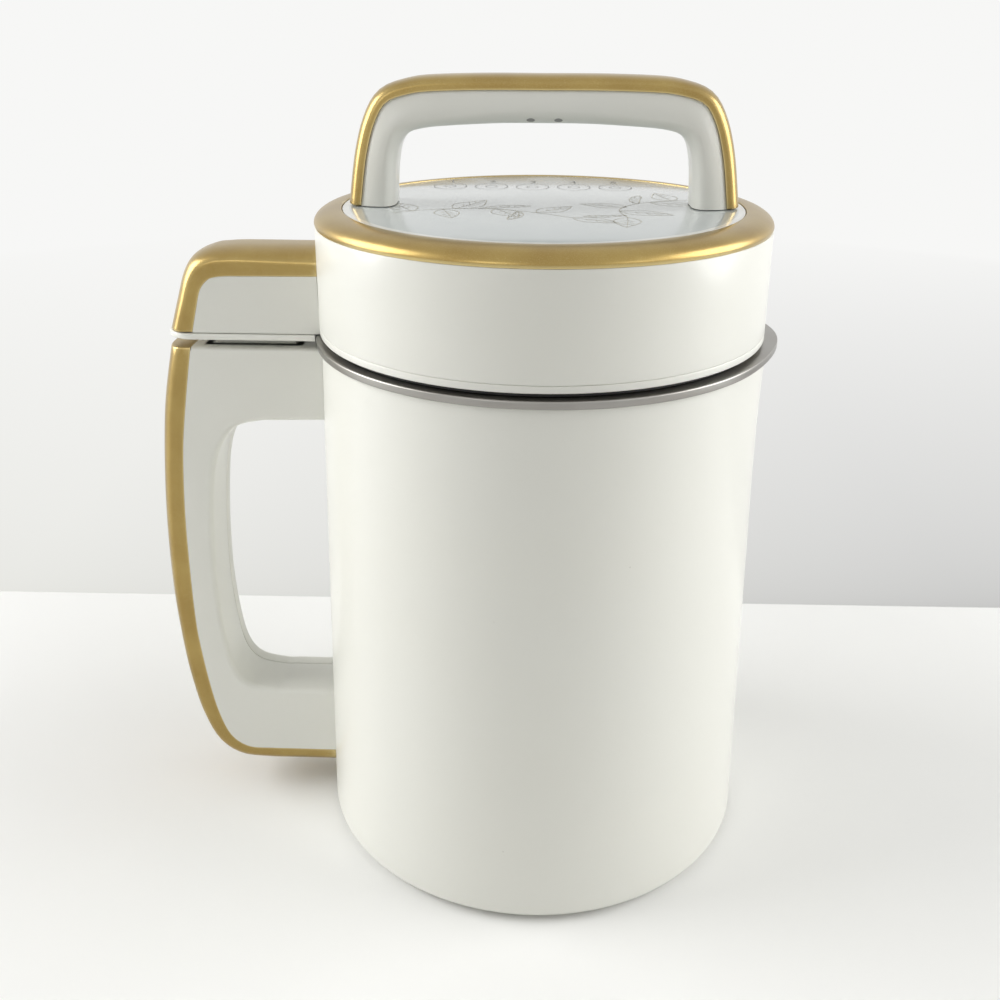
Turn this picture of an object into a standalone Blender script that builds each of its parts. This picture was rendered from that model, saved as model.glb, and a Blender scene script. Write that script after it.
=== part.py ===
"""Soy milk maker: a steel cup in a moulded jug, closed by a lift-off head that holds the motor.

Units are metres and +Z is up. The floor is at Z = 0, the handle points along -X, and the
X and Y origin is the middle of the part's footprint. Heights are measured from the floor,
and radii from the jug's own axis.
"""

import math

import bmesh
import bpy
from mathutils import Matrix, Vector

# Fits and roundness
CLEARANCE = 0.0003
RUNNING_GAP = 0.0006
CUT_OVERRUN = 0.004
MERGE = 0.00001
LARGE_STEPS = 40
INNER_STEPS = 28
MEDIUM_STEPS = 20
SMALL_STEPS = 12
TINY_STEPS = 8

# Jug shell and cup
FOOT_SHOWS = 0.002
SHELL_HEIGHT = 0.2003
SHELL_BASE_RADIUS = 0.0856
SHELL_DRAFT = 0.0061
SHELL_WALL = 0.0022
SHELL_EDGE_RADIUS = 0.0025
SHELL_LEDGE = 0.0053
CUP_WALL = 0.001
CUP_RIM_PROUD = 0.0019
CUP_RIM_HEM = 0.0027
LIP_REACH = 0.0041
LIP_NOSE_SHARE = 0.75
LIP_NOSE_POWER = 24
CUP_NECK_GAP = 0.0095
CUP_DRAFT = 0.003
CUP_FLOOR_HEIGHT = 0.036
CUP_CORNER_RADIUS = 0.008

# Base of the jug
COVER_PLATE = 0.0025
COVER_STEP = 0.0014
COVER_RIM = 0.0055
FOOT_COUNT = 3
FOOT_RADIUS = 0.007
FOOT_STEM_RADIUS = 0.003
FOOT_INSET = 0.010
FOOT_EDGE = 0.0006
FRAME_FLOOR = 0.002
FRAME_MARGIN = 0.0035
FRAME_LIP = 0.0105
FRAME_RING_WALL = 0.0026
FRAME_BOSS_RADIUS = 0.0045
FRAME_BOSS_HEIGHT = 0.009
BASE_SCREW_RADIUS = 0.0015
BASE_SCREW_HEAD_RADIUS = 0.003
BASE_SCREW_HEAD = 0.0012
BASE_SCREW_LENGTH = 0.009
PLATE_MARGIN = 0.0054
PLATE_THICKNESS = 0.0055
HEATER_TUBE_RADIUS = 0.0033
HEATER_INSET = 0.012
HEATER_GAP_DEGREES = 50.0
THERMOSTAT_RADIUS = 0.009
THERMOSTAT_HEIGHT = 0.0065
THERMOSTAT_CAP_RADIUS = 0.006

# Jug handle
HANDLE_PROUD = 0.0614
HANDLE_TOP_GAP = 0.0031
HANDLE_BOTTOM = 0.0130
HANDLE_HALF_DEPTH = 0.0135
HANDLE_SPLIT = 0.0068
HANDLE_WALL = 0.0024
HANDLE_EDGE = 0.0022
TRIM_SIDE = 0.009
TRIM_CROWN = 0.0052
HANDLE_SCREW_RADIUS = 0.0018
HANDLE_SCREW_HEAD_RADIUS = 0.0035
HANDLE_SCREW_HEAD = 0.0022
HANDLE_SCREW_LENGTH = 0.015
HANDLE_SCREW_OFFSET = 0.004
UPPER_SCREW_DROP = 0.0218
LOWER_SCREW_RISE = 0.0300
HANDLE_ROOT_LENGTH = 0.009
PORT_RISE = 0.0170
PORT_RADIUS = 0.0032
HARNESS_RADIUS = 0.002

# Coupler between the jug and the head
SOCKET_SEAM_MARGIN = 0.004
SOCKET_ROOT_MARGIN = 0.007
SOCKET_SIDE_MARGIN = 0.0021
SOCKET_WALL = 0.0024
SOCKET_HEIGHT = 0.0155
SOCKET_POCKET = 0.0056
PLUG_DROP = 0.0085
PLUG_FLANGE = 0.002
PLUG_FLANGE_MARGIN = 0.0018
PLUG_HEIGHT = 0.0029
PLUG_GAP = 0.0009
PIN_COUNT = 2
PIN_RADIUS = 0.0011
PIN_LENGTH = 0.013
CONTACT_RADIUS = 0.0024
CONTACT_BORE = 0.0017
CONTACT_LENGTH = 0.0125

# Head: flange, drum, ring, panel
SEAL_THICKNESS = 0.0013
SEAL_INSET = 0.0042
FLANGE_THICKNESS = 0.0025
DRUM_OVERHANG = 0.0099
DRUM_DRAFT = 0.00054
DRUM_HEIGHT = 0.0342
DRUM_WALL = 0.0024
SPIGOT_GAP = 0.0012
SPIGOT_WALL = 0.0024
SPIGOT_DEPTH = 0.011
MOTOR_WELL_INSET = 0.0245
MOTOR_WELL_WALL = 0.0022
MOTOR_WELL_DEPTH = 0.006
DECK_THICKNESS = 0.0014
DECK_RISE = 0.0034
STUD_MARGIN = 0.0034
RING_WIDTH = 0.0097
PANEL_THICKNESS = 0.0018
RING_FOOT = 0.0009
RING_SHOULDER = 0.0010
RING_PROUD = 0.0002
RING_BULGE = 0.0001

# Side block over the handle
BLOCK_STEP_IN = 0.0003
BLOCK_ROOF_GAP = 0.0012
BLOCK_DEPTH_MARGIN = 0.0003
BLOCK_WALL = 0.0022
BLOCK_SIDE = 0.0120
BLOCK_CROWN = 0.0052
TONGUE_THICKNESS = 0.0023
TONGUE_MARGIN = 0.0006
TONGUE_END_RADIUS = 0.010
TONGUE_DROP = 0.0018
RIM_MARGIN = 0.0012
RISER_THICKNESS = 0.0024
INLET_END_MARGIN = 0.0095
INLET_LENGTH = 0.024
INLET_HEIGHT = 0.0135
INLET_DEPTH = 0.0145
INLET_WALL = 0.0022
INLET_RISE = 0.0032
INLET_PIN_COUNT = 3
INLET_PIN_RADIUS = 0.0012
INLET_PIN_PITCH = 0.0065
INLET_PIN_LENGTH = 0.0115

# Carry handle
CARRY_INSET = 0.01196
CARRY_HEIGHT = 0.0424
CARRY_LEG = 0.0164
CARRY_CLEAR_HEIGHT = 0.0270
CARRY_CAP_THICKNESS = 0.0047
CARRY_CAP_HALF_DEPTH = 0.0108
CARRY_GRIP_HALF_DEPTH = 0.0102
CARRY_CAP_SIDE = 0.0065
CARRY_CAP_CROWN = 0.0032
CARRY_GRIP_SIDE = 0.0065
CARRY_GRIP_CROWN = 0.0060
STUD_RADIUS = 0.004
STUD_LENGTH = 0.0085
GRIP_SCREW_RADIUS = 0.0024
GRIP_SCREW_LENGTH = 0.0055
GRIP_SCREW_SPACING = 0.0092

# Motor and rotor
SHAFT_RADIUS = 0.004
STATOR_GAP = 0.009
STATOR_YOKE = 0.012
STATOR_DROP = 0.018
STATOR_HEIGHT = 0.040
COIL_RISE = 0.005
COIL_WIDTH = 0.009
COIL_HALF_ANGLE = 52.0
BRACKET_THICKNESS = 0.0035
BRACKET_ARM = 0.012
BRACKET_POST_RADIUS = 0.0028
BEARING_RADIUS = 0.008
BEARING_HEIGHT = 0.006
BEARING_SEAT_WALL = 0.002
LOWER_BEARING_DROP = 0.0155
UPPER_BEARING_RISE = 0.007
ARMATURE_GAP = 0.0008
ARMATURE_SLOTS = 12
ARMATURE_SLOT_WIDTH = 0.0016
COMMUTATOR_RADIUS = 0.0095
COMMUTATOR_HEIGHT = 0.010
COMMUTATOR_DROP = 0.009
BRUSH_WIDTH = 0.008
BRUSH_HEIGHT = 0.007
FAN_RADIUS = 0.027
FAN_HUB_RADIUS = 0.008
FAN_DISC = 0.0012
FAN_HEIGHT = 0.006
FAN_BLADES = 10
FAN_BLADE_WIDTH = 0.0012

# Boards
BOARD_THICKNESS = 0.0016
TOUCH_BOARD_MARGIN = 0.0015
TOUCH_CHIP = 0.007
TOUCH_CHIP_RISE = 0.0012
BOARD_POST_HEIGHT = 0.004
BOARD_POST_RADIUS = 0.003
POWER_BOARD_WIDTH = 0.023
POWER_BOARD_MARGIN = 0.0045
POWER_BOARD_HALF_DEPTH = 0.034
TRANSFORMER_LENGTH = 0.018
TRANSFORMER_WIDTH = 0.024
TRANSFORMER_HEIGHT = 0.0185
TRANSFORMER_EDGE = 0.001
RELAY_SIZE = 0.0105
RELAY_HEIGHT = 0.014

# Parts that dip into the cup
COVER_CAN_INSET = 0.002
COVER_CAN_WALL = 0.001
COVER_CAN_SLOPE = 0.010
COVER_CAN_DROP = 0.012
COVER_CAN_NOSE_INSET = 0.0125
SHAFT_TUBE_RADIUS = 0.0095
SHAFT_TUBE_WALL = 0.001
SHAFT_TUBE_RISE = 0.0195
SHAFT_TUBE_FLANGE_RADIUS = 0.015
SEAL_LIP_LENGTH = 0.009
PROBE_RADIUS = 0.0028
PROBE_INSET = 0.0105
PROBE_DROP = 0.112
ELECTRODE_RADIUS = 0.0022
ELECTRODE_DROP = 0.048
ROD_HEAD_RADIUS = 0.0042
ROD_HEAD_HEIGHT = 0.003
BLADE_RADIUS = 0.032
BLADE_WIDTH = 0.011
BLADE_THICKNESS = 0.0014
BLADE_LIFT = 0.007
BLADE_CLEAR = 0.0265
BLADE_HUB_RADIUS = 0.0075
NUT_RADIUS = 0.0055
NUT_HEIGHT = 0.004
SHAFT_STEP = 0.0012

# Outlines as shares, chosen by hand. X shares are of a reach from the axis, Z shares of a height.
HANDLE_CREST_SHARES = [
    (0.921, 1.0), (0.961, 0.857), (0.990, 0.654), (1.0, 0.458), (0.9925, 0.297),
    (0.979, 0.199), (0.9595, 0.121), (0.922, 0.048), (0.861, 0.0085), (0.777, 0.0), (0.5, 0.0),
]
HANDLE_SEAM_SHARES = [
    (0.8605, 1.0), (0.888, 0.891), (0.911, 0.783), (0.927, 0.647), (0.9345, 0.504),
    (0.9365, 0.380), (0.9325, 0.315), (0.921, 0.224), (0.904, 0.141), (0.876, 0.0765),
    (0.828, 0.0455), (0.76, 0.042), (0.5, 0.042),
]
HANDLE_OPENING_SHARES = [
    (0.5, 0.8516), (0.7075, 0.8472), (0.769, 0.8338), (0.812, 0.7916), (0.839, 0.7271), (0.858, 0.6044),
    (0.867, 0.4587), (0.8605, 0.340), (0.8435, 0.259), (0.806, 0.2185), (0.735, 0.2051), (0.5, 0.2051),
]
BLOCK_CREST_SHARES = [
    (0.5, 1.0), (0.811, 1.0), (0.874, 0.968), (0.918, 0.880), (0.9476, 0.697), (0.972, 0.387), (1.0, 0.0),
]
BLOCK_SEAM_SHARES = [
    (0.5, 0.698), (0.833, 0.6846), (0.8697, 0.638), (0.892, 0.520), (0.9073, 0.302), (0.9254, 0.0),
]
CARRY_OUTER_SHARES = [
    (1.0, 0.0), (0.976, 0.26), (0.953, 0.45), (0.917, 0.645), (0.865, 0.81), (0.80, 0.905),
    (0.70, 0.957), (0.58, 0.986), (0.30, 1.0), (0.0, 1.0),
]
CARRY_INNER_SHARES = [
    (1.0, 0.0), (0.99, 0.35), (0.975, 0.59), (0.947, 0.77), (0.893, 0.88), (0.812, 0.927),
    (0.673, 0.958), (0.3, 0.996), (0.0, 1.0),
]
HARNESS_SHARES = [
    (0.872, 0.80), (0.896, 0.643), (0.9025, 0.454), (0.893, 0.305), (0.865, 0.176), (0.80, 0.107),
    (0.72, 0.092),
]
SHELL_SWELL_SHARES = [(1.0, 0.70), (0.967, 0.42), (0.915, 0.20), (0.84, 0.07), (0.765, 0.0)]
ARMATURE_SLOT_SHARE = 0.21
BLADE_TIP_SHARE = 0.45
ROD_TIP_SHARE = 0.45
BLADE_BEND_SHARE = 0.42

# Jug: heights and radii worked out from the sizes above
SHELL_BASE_Z = FOOT_SHOWS
SHELL_TOP_Z = SHELL_BASE_Z + SHELL_HEIGHT
SHELL_TOP_RADIUS = SHELL_BASE_RADIUS - SHELL_DRAFT
CUP_RIM_RADIUS = SHELL_TOP_RADIUS + CUP_RIM_PROUD
CUP_NECK_RADIUS = SHELL_TOP_RADIUS - CUP_NECK_GAP
CUP_BASE_RADIUS = CUP_NECK_RADIUS - CUP_DRAFT
RIM_TOP_Z = SHELL_TOP_Z + CLEARANCE + CUP_WALL
COVER_RADIUS = SHELL_BASE_RADIUS - SHELL_WALL - SHELL_LEDGE - 2 * CLEARANCE
COVER_DISH_RADIUS = COVER_RADIUS - COVER_RIM
COVER_BASE_Z = SHELL_BASE_Z + FOOT_EDGE
COVER_TOP_Z = COVER_BASE_Z + COVER_PLATE
FOOT_CIRCLE_RADIUS = COVER_DISH_RADIUS - FOOT_INSET
FRAME_BASE_Z = COVER_TOP_Z + CLEARANCE
FRAME_RADIUS = COVER_DISH_RADIUS - FRAME_MARGIN
FRAME_RING_RADIUS = FRAME_RADIUS - FRAME_LIP
PLATE_RADIUS = FRAME_RING_RADIUS - FRAME_RING_WALL - PLATE_MARGIN
HEATER_RING_RADIUS = PLATE_RADIUS - HEATER_INSET
CUP_UNDERSIDE_Z = CUP_FLOOR_HEIGHT - CUP_WALL
PLATE_TOP_Z = CUP_UNDERSIDE_Z - CLEARANCE
PLATE_BASE_Z = PLATE_TOP_Z - PLATE_THICKNESS

# Head: heights and radii of the flange, the drum and the carry handle
FLANGE_BASE_Z = RIM_TOP_Z + SEAL_THICKNESS + 2 * CLEARANCE
FLANGE_TOP_Z = FLANGE_BASE_Z + FLANGE_THICKNESS
SEAL_RADIUS = CUP_RIM_RADIUS - SEAL_INSET
DRUM_BASE_RADIUS = CUP_NECK_RADIUS + DRUM_OVERHANG
DRUM_TOP_RADIUS = DRUM_BASE_RADIUS - DRUM_DRAFT
DRUM_BASE_Z = FLANGE_TOP_Z + CLEARANCE
DRUM_TOP_Z = DRUM_BASE_Z + DRUM_HEIGHT
DECK_TOP_Z = DRUM_TOP_Z + DECK_RISE
PANEL_RADIUS = DRUM_TOP_RADIUS - RING_WIDTH
PANEL_BASE_Z = DECK_TOP_Z + CLEARANCE
PANEL_TOP_Z = PANEL_BASE_Z + PANEL_THICKNESS
CARRY_BASE_Z = PANEL_TOP_Z + CLEARANCE
CARRY_HALF_SPAN = DRUM_TOP_RADIUS - CARRY_INSET
CARRY_INNER_HALF_SPAN = CARRY_HALF_SPAN - CARRY_LEG
STUD_REACH = (CARRY_HALF_SPAN - CARRY_CAP_THICKNESS + CARRY_INNER_HALF_SPAN) / 2
DECK_HOLE_RADIUS = STUD_REACH - STUD_RADIUS - STUD_MARGIN
TOUCH_BOARD_RADIUS = DECK_HOLE_RADIUS - TOUCH_BOARD_MARGIN
POWER_BOARD_OUTER = DRUM_BASE_RADIUS - DRUM_WALL - POWER_BOARD_MARGIN
POWER_BOARD_INNER = POWER_BOARD_OUTER - POWER_BOARD_WIDTH

# Handle, side block and coupler, which line up with one another
TONGUE_TOP_Z = FLANGE_BASE_Z - TONGUE_DROP
TONGUE_BASE_Z = TONGUE_TOP_Z - TONGUE_THICKNESS
TONGUE_ROOT = CUP_RIM_RADIUS + RIM_MARGIN
HANDLE_REACH = SHELL_BASE_RADIUS + HANDLE_PROUD
HANDLE_TOP_Z = TONGUE_BASE_Z - HANDLE_TOP_GAP
HANDLE_HEIGHT = HANDLE_TOP_Z - HANDLE_BOTTOM
UPPER_SCREW_HEIGHT = HANDLE_TOP_Z - UPPER_SCREW_DROP
LOWER_SCREW_HEIGHT = HANDLE_BOTTOM + LOWER_SCREW_RISE
PORT_HEIGHT = HANDLE_BOTTOM + PORT_RISE
SOCKET_OUTER = HANDLE_REACH * HANDLE_SEAM_SHARES[0][0] - SOCKET_SEAM_MARGIN
SOCKET_INNER = SHELL_TOP_RADIUS + SOCKET_ROOT_MARGIN
SOCKET_LENGTH = SOCKET_OUTER - SOCKET_INNER
SOCKET_DEPTH = 2 * (HANDLE_HALF_DEPTH - HANDLE_WALL - SOCKET_SIDE_MARGIN)
COUPLER_REACH = (SOCKET_OUTER + SOCKET_INNER) / 2
PLUG_LENGTH = SOCKET_LENGTH - 2 * (SOCKET_WALL + PLUG_GAP)
PLUG_DEPTH = SOCKET_DEPTH - 2 * (SOCKET_WALL + PLUG_GAP)
PIN_PITCH = PLUG_LENGTH / PIN_COUNT
BLOCK_BASE_Z = TONGUE_TOP_Z + CLEARANCE
BLOCK_REACH = HANDLE_REACH * HANDLE_CREST_SHARES[0][0] - BLOCK_STEP_IN
BLOCK_ROOF_HEIGHT = INLET_RISE + INLET_HEIGHT + BLOCK_WALL + CLEARANCE + BLOCK_ROOF_GAP
BLOCK_HEIGHT = BLOCK_ROOF_HEIGHT / BLOCK_SEAM_SHARES[1][1]
BLOCK_HALF_DEPTH = HANDLE_HALF_DEPTH + BLOCK_DEPTH_MARGIN
INLET_REACH = BLOCK_REACH * BLOCK_SEAM_SHARES[-1][0] - INLET_END_MARGIN - INLET_LENGTH / 2
AXIS_X = (HANDLE_REACH - SHELL_BASE_RADIUS) / 2

# Motor, which hangs from the flange, and the blade, which clears the cup's floor
MOTOR_WELL_RADIUS = CUP_NECK_RADIUS - MOTOR_WELL_INSET
COVER_CAN_RADIUS = MOTOR_WELL_RADIUS - COVER_CAN_INSET
COVER_CAN_NOSE_RADIUS = COVER_CAN_RADIUS - COVER_CAN_NOSE_INSET
STATOR_RADIUS = COVER_CAN_RADIUS - COVER_CAN_WALL - STATOR_GAP
STATOR_BORE = STATOR_RADIUS - STATOR_YOKE
STATOR_TOP = FLANGE_TOP_Z - STATOR_DROP
STATOR_BOTTOM = STATOR_TOP - STATOR_HEIGHT
UPPER_BEARING_BOTTOM = FLANGE_TOP_Z + UPPER_BEARING_RISE
LOWER_BEARING_BOTTOM = STATOR_BOTTOM - LOWER_BEARING_DROP
COMMUTATOR_BOTTOM = FLANGE_TOP_Z - COMMUTATOR_DROP
COVER_CAN_BOTTOM = LOWER_BEARING_BOTTOM - COVER_CAN_DROP
COVER_CAN_SHOULDER = COVER_CAN_BOTTOM + COVER_CAN_SLOPE
PROBE_CIRCLE_RADIUS = CUP_NECK_RADIUS - PROBE_INSET
PROBE_BOTTOM = FLANGE_TOP_Z - PROBE_DROP
ELECTRODE_BOTTOM = FLANGE_TOP_Z - ELECTRODE_DROP
BLADE_HEIGHT = CUP_FLOOR_HEIGHT + BLADE_CLEAR
SHAFT_BOTTOM = BLADE_HEIGHT - NUT_HEIGHT
SHAFT_TUBE_BOTTOM = BLADE_HEIGHT + SHAFT_TUBE_RISE

# Finishes: colour, roughness, metallic
FINISHES = {
    "white_gloss": ((0.88, 0.88, 0.86), 0.22, 0.0),
    "gold_paint": ((0.50, 0.36, 0.15), 0.32, 0.75),
    "brushed_steel": ((0.56, 0.56, 0.55), 0.28, 1.0),
    "panel_print": ((0.70, 0.75, 0.78), 0.12, 0.0),
    "dark_rubber": ((0.03, 0.03, 0.03), 0.75, 0.0),
    "pale_rubber": ((0.62, 0.62, 0.60), 0.70, 0.0),
    "base_plastic": ((0.55, 0.55, 0.54), 0.45, 0.0),
    "black_plastic": ((0.03, 0.03, 0.035), 0.40, 0.0),
    "aluminium": ((0.72, 0.72, 0.73), 0.40, 1.0),
    "brass": ((0.72, 0.55, 0.26), 0.30, 1.0),
    "core_steel": ((0.20, 0.20, 0.21), 0.50, 0.9),
    "board_green": ((0.04, 0.22, 0.10), 0.45, 0.0),
}


def clear_scene():
    """Remove what a new file holds, so that only the model is left."""
    for item in list(bpy.data.objects):
        bpy.data.objects.remove(item, do_unlink=True)


def make_finish(name):
    """A Principled material from the table of finishes."""
    colour, roughness, metallic = FINISHES[name]
    material = bpy.data.materials.new(name)
    material.use_nodes = True
    shader = material.node_tree.nodes["Principled BSDF"]
    shader.inputs["Base Color"].default_value = (*colour, 1.0)
    shader.inputs["Roughness"].default_value = roughness
    shader.inputs["Metallic"].default_value = metallic
    material.diffuse_color = (*colour, 1.0)
    return material


def make_empty(name, location, parent=None):
    empty = bpy.data.objects.new(name, None)
    bpy.context.scene.collection.objects.link(empty)
    empty.location = location
    empty.parent = parent
    return empty


class Workshop:
    """The collections, the finishes and the empty that new pieces hang on."""

    def __init__(self):
        self.parts = bpy.data.collections.new("soy_milk_maker")
        self.cutters = bpy.data.collections.new("cutters")
        bpy.context.scene.collection.children.link(self.parts)
        bpy.context.scene.collection.children.link(self.cutters)
        self.finishes = {name: make_finish(name) for name in FINISHES}
        self.carrier = None

    def add(self, name, mesh, finish, location=(0, 0, 0), rotation=(0, 0, 0)):
        """Link a mesh as one piece, or as a cutter where the finish is None."""
        item = bpy.data.objects.new(name, mesh)
        item.parent = self.carrier
        item.location = location
        item.rotation_euler = rotation
        if finish is None:
            self.cutters.objects.link(item)
            item.hide_render = True
            item.display_type = "WIRE"
            return item
        self.parts.objects.link(item)
        mesh.materials.append(self.finishes[finish])
        return item


shop = None


def smooth_curve(points, steps):
    """A smooth run of points through the given ones (Catmull-Rom), with steps points to a span."""
    run = []
    ends = [points[0]] + list(points) + [points[-1]]
    for index in range(len(points) - 1):
        before, start, finish, after = (Vector(p) for p in ends[index:index + 4])
        for step in range(steps):
            t = step / steps
            blend = (
                2 * start + (finish - before) * t
                + (2 * before - 5 * start + 4 * finish - after) * t ** 2
                + (3 * start - before - 3 * finish + after) * t ** 3
            )
            run.append(tuple(blend / 2))
    run.append(tuple(points[-1]))
    return run


def arc(centre, radius, start, finish, steps):
    """Points on an arc, from start to finish in degrees."""
    run = []
    for step in range(steps + 1):
        angle = math.radians(start + (finish - start) * step / steps)
        run.append((centre[0] + radius * math.cos(angle), centre[1] + radius * math.sin(angle)))
    return run


def scaled(shares, reach, height, base):
    """Shares turned into X and Z: reach along X, height along Z above the base."""
    return [(x * reach, base + z * height) for x, z in shares]


def offset_run(run, distance):
    """Move an open run of points sideways, to its left for a positive distance."""
    moved = []
    for index, point in enumerate(run):
        before = Vector(run[max(index - 1, 0)])
        after = Vector(run[min(index + 1, len(run) - 1)])
        along = (after - before).normalized()
        moved.append((point[0] - along.y * distance, point[1] + along.x * distance))
    return moved


def signed_area(points):
    total = 0.0
    for (x0, y0), (x1, y1) in zip(points, points[1:] + points[:1]):
        total += x0 * y1 - x1 * y0
    return total / 2


def turned(name, profile, finish, steps=MEDIUM_STEPS, location=(0, 0, 0), rotation=(0, 0, 0)):
    """A profile of (radius, height) points spun about Z. It may start and end on the axis."""
    on_axis = profile[0][0] == 0 and profile[-1][0] == 0
    if signed_area(profile) > 0:
        profile = profile[::-1]
    mesh = bpy.data.meshes.new(name)
    shape = bmesh.new()
    corners = [shape.verts.new((radius, 0, height)) for radius, height in profile]
    for first, second in zip(corners, corners[1:]):
        shape.edges.new((first, second))
    if not on_axis:
        shape.edges.new((corners[-1], corners[0]))
    shape.to_mesh(mesh)
    shape.free()
    item = shop.add(name, mesh, finish, location, rotation)
    spin = item.modifiers.new("spin", "SCREW")
    spin.axis = "Z"
    spin.angle = 2 * math.pi
    spin.steps = steps
    spin.render_steps = steps
    spin.use_merge_vertices = True
    spin.merge_threshold = MERGE
    spin.use_smooth_shade = True
    return item


def flat_mesh(name, outline, thickness):
    """A closed outline in XY as a solid, half its thickness to either side, from a filled 2D curve."""
    curve = bpy.data.curves.new(name, "CURVE")
    curve.dimensions = "2D"
    curve.fill_mode = "BOTH"
    curve.extrude = thickness / 2
    spline = curve.splines.new("POLY")
    spline.points.add(len(outline) - 1)
    for point, (x, y) in zip(spline.points, outline):
        point.co = (x, y, 0, 1)
    spline.use_cyclic_u = True
    guide = bpy.data.objects.new(name, curve)
    bpy.context.scene.collection.objects.link(guide)
    graph = bpy.context.evaluated_depsgraph_get()
    mesh = bpy.data.meshes.new_from_object(guide.evaluated_get(graph))
    bpy.data.objects.remove(guide, do_unlink=True)
    bpy.data.curves.remove(curve)
    shape = bmesh.new()
    shape.from_mesh(mesh)
    bmesh.ops.remove_doubles(shape, verts=shape.verts, dist=MERGE)
    bmesh.ops.recalc_face_normals(shape, faces=shape.faces)
    shape.to_mesh(mesh)
    shape.free()
    return mesh


def side_solid(name, outline, low, high, finish):
    """An outline in X and Z, from Y = low to Y = high."""
    mesh = flat_mesh(name, outline, high - low)
    turn = Matrix.Rotation(math.pi / 2, 4, "X")
    mesh.transform(Matrix.Translation((0, (low + high) / 2, 0)) @ turn)
    return shop.add(name, mesh, finish)


def plan_solid(name, outline, low, high, finish):
    """An outline in X and Y, from Z = low to Z = high."""
    mesh = flat_mesh(name, outline, high - low)
    mesh.transform(Matrix.Translation((0, 0, (low + high) / 2)))
    return shop.add(name, mesh, finish)


def box(name, low, high, finish, edge=0.0):
    """A box between two corners, with its edges rounded where edge is given."""
    mesh = bpy.data.meshes.new(name)
    shape = bmesh.new()
    size = [h - l for l, h in zip(low, high)]
    middle = [(h + l) / 2 for l, h in zip(low, high)]
    place = Matrix.Translation(middle) @ Matrix.Diagonal((*size, 1.0))
    bmesh.ops.create_cube(shape, size=1.0, matrix=place)
    if edge:
        bmesh.ops.bevel(shape, geom=shape.edges[:], offset=edge, segments=2, profile=0.5, affect="EDGES")
    shape.to_mesh(mesh)
    shape.free()
    return shop.add(name, mesh, finish)


def rod(name, radius, low, high, finish, x=0.0, y=0.0, steps=SMALL_STEPS, top_radius=None):
    """An upright cylinder or cone from Z = low to Z = high."""
    mesh = bpy.data.meshes.new(name)
    shape = bmesh.new()
    top = radius if top_radius is None else top_radius
    place = Matrix.Translation((0, 0, (high + low) / 2))
    bmesh.ops.create_cone(
        shape, cap_ends=True, segments=steps, radius1=radius, radius2=top, depth=high - low, matrix=place
    )
    shape.to_mesh(mesh)
    shape.free()
    return shop.add(name, mesh, finish, location=(x, y, 0))


def bar(name, radius, start, direction, length, finish, steps=SMALL_STEPS):
    """A cylinder from a start point, along a direction."""
    mesh = bpy.data.meshes.new(name)
    shape = bmesh.new()
    place = Matrix.Translation((0, 0, length / 2))
    bmesh.ops.create_cone(
        shape, cap_ends=True, segments=steps, radius1=radius, radius2=radius, depth=length, matrix=place
    )
    shape.to_mesh(mesh)
    shape.free()
    turn = Vector((0, 0, 1)).rotation_difference(Vector(direction)).to_euler()
    return shop.add(name, mesh, finish, location=start, rotation=turn)


def tube(name, route, radius, finish, resolution=2):
    """A wire or tube along a route of points, as a mesh with its caps welded."""
    curve = bpy.data.curves.new(name, "CURVE")
    curve.dimensions = "3D"
    curve.bevel_depth = radius
    curve.bevel_resolution = resolution
    curve.use_fill_caps = True
    spline = curve.splines.new("POLY")
    spline.points.add(len(route) - 1)
    for point, place in zip(spline.points, route):
        point.co = (*place, 1)
    guide = bpy.data.objects.new(name, curve)
    bpy.context.scene.collection.objects.link(guide)
    graph = bpy.context.evaluated_depsgraph_get()
    mesh = bpy.data.meshes.new_from_object(guide.evaluated_get(graph))
    bpy.data.objects.remove(guide, do_unlink=True)
    bpy.data.curves.remove(curve)
    shape = bmesh.new()
    shape.from_mesh(mesh)
    bmesh.ops.remove_doubles(shape, verts=shape.verts, dist=MERGE)
    bmesh.ops.recalc_face_normals(shape, faces=shape.faces)
    shape.to_mesh(mesh)
    shape.free()
    return shop.add(name, mesh, finish)


def loft(name, sections, finish):
    """A solid lofted along Y through (y, outline) sections that all have as many points."""
    mesh = bpy.data.meshes.new(name)
    shape = bmesh.new()
    rings = [[shape.verts.new((x, y, z)) for x, z in outline] for y, outline in sections]
    for near, far in zip(rings, rings[1:]):
        count = len(near)
        for index in range(count):
            after = (index + 1) % count
            shape.faces.new((near[index], near[after], far[after], far[index]))
    shape.faces.new(rings[0][::-1])
    shape.faces.new(rings[-1])
    bmesh.ops.recalc_face_normals(shape, faces=shape.faces)
    shape.to_mesh(mesh)
    shape.free()
    return shop.add(name, mesh, finish)


def rounding(edge_y, side_width, crown, steps):
    """(y, inset) pairs of a rounded edge, from the face at edge_y inwards to the full outline."""
    pairs = []
    direction = -1 if edge_y > 0 else 1
    for step in range(steps + 1):
        angle = math.pi / 2 * step / steps
        pairs.append((edge_y + direction * side_width * (1 - math.cos(angle)), crown * (1 - math.sin(angle))))
    return pairs


def rounded_sections(half_depth, side_width, crown, steps, outline_at):
    """Sections from one face to the other, where outline_at gives the outline for an inset."""
    near = rounding(-half_depth, side_width, crown, steps)
    far = rounding(half_depth, side_width, crown, steps)[::-1]
    return [(y, outline_at(inset)) for y, inset in near + far]


def level_end(run, index, height):
    """Put one end of a run back to the height of the face that it stands on."""
    run[index] = (run[index][0], height)
    return run


def combine(target, tool, operation):
    """A Boolean with the exact solver, kept as a modifier."""
    step = target.modifiers.new(tool.name, "BOOLEAN")
    step.operation = operation
    step.object = tool
    step.solver = "EXACT"


def cut(target, *tools):
    for tool in tools:
        combine(target, tool, "DIFFERENCE")


def join(target, *tools):
    for tool in tools:
        combine(target, tool, "UNION")


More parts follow.
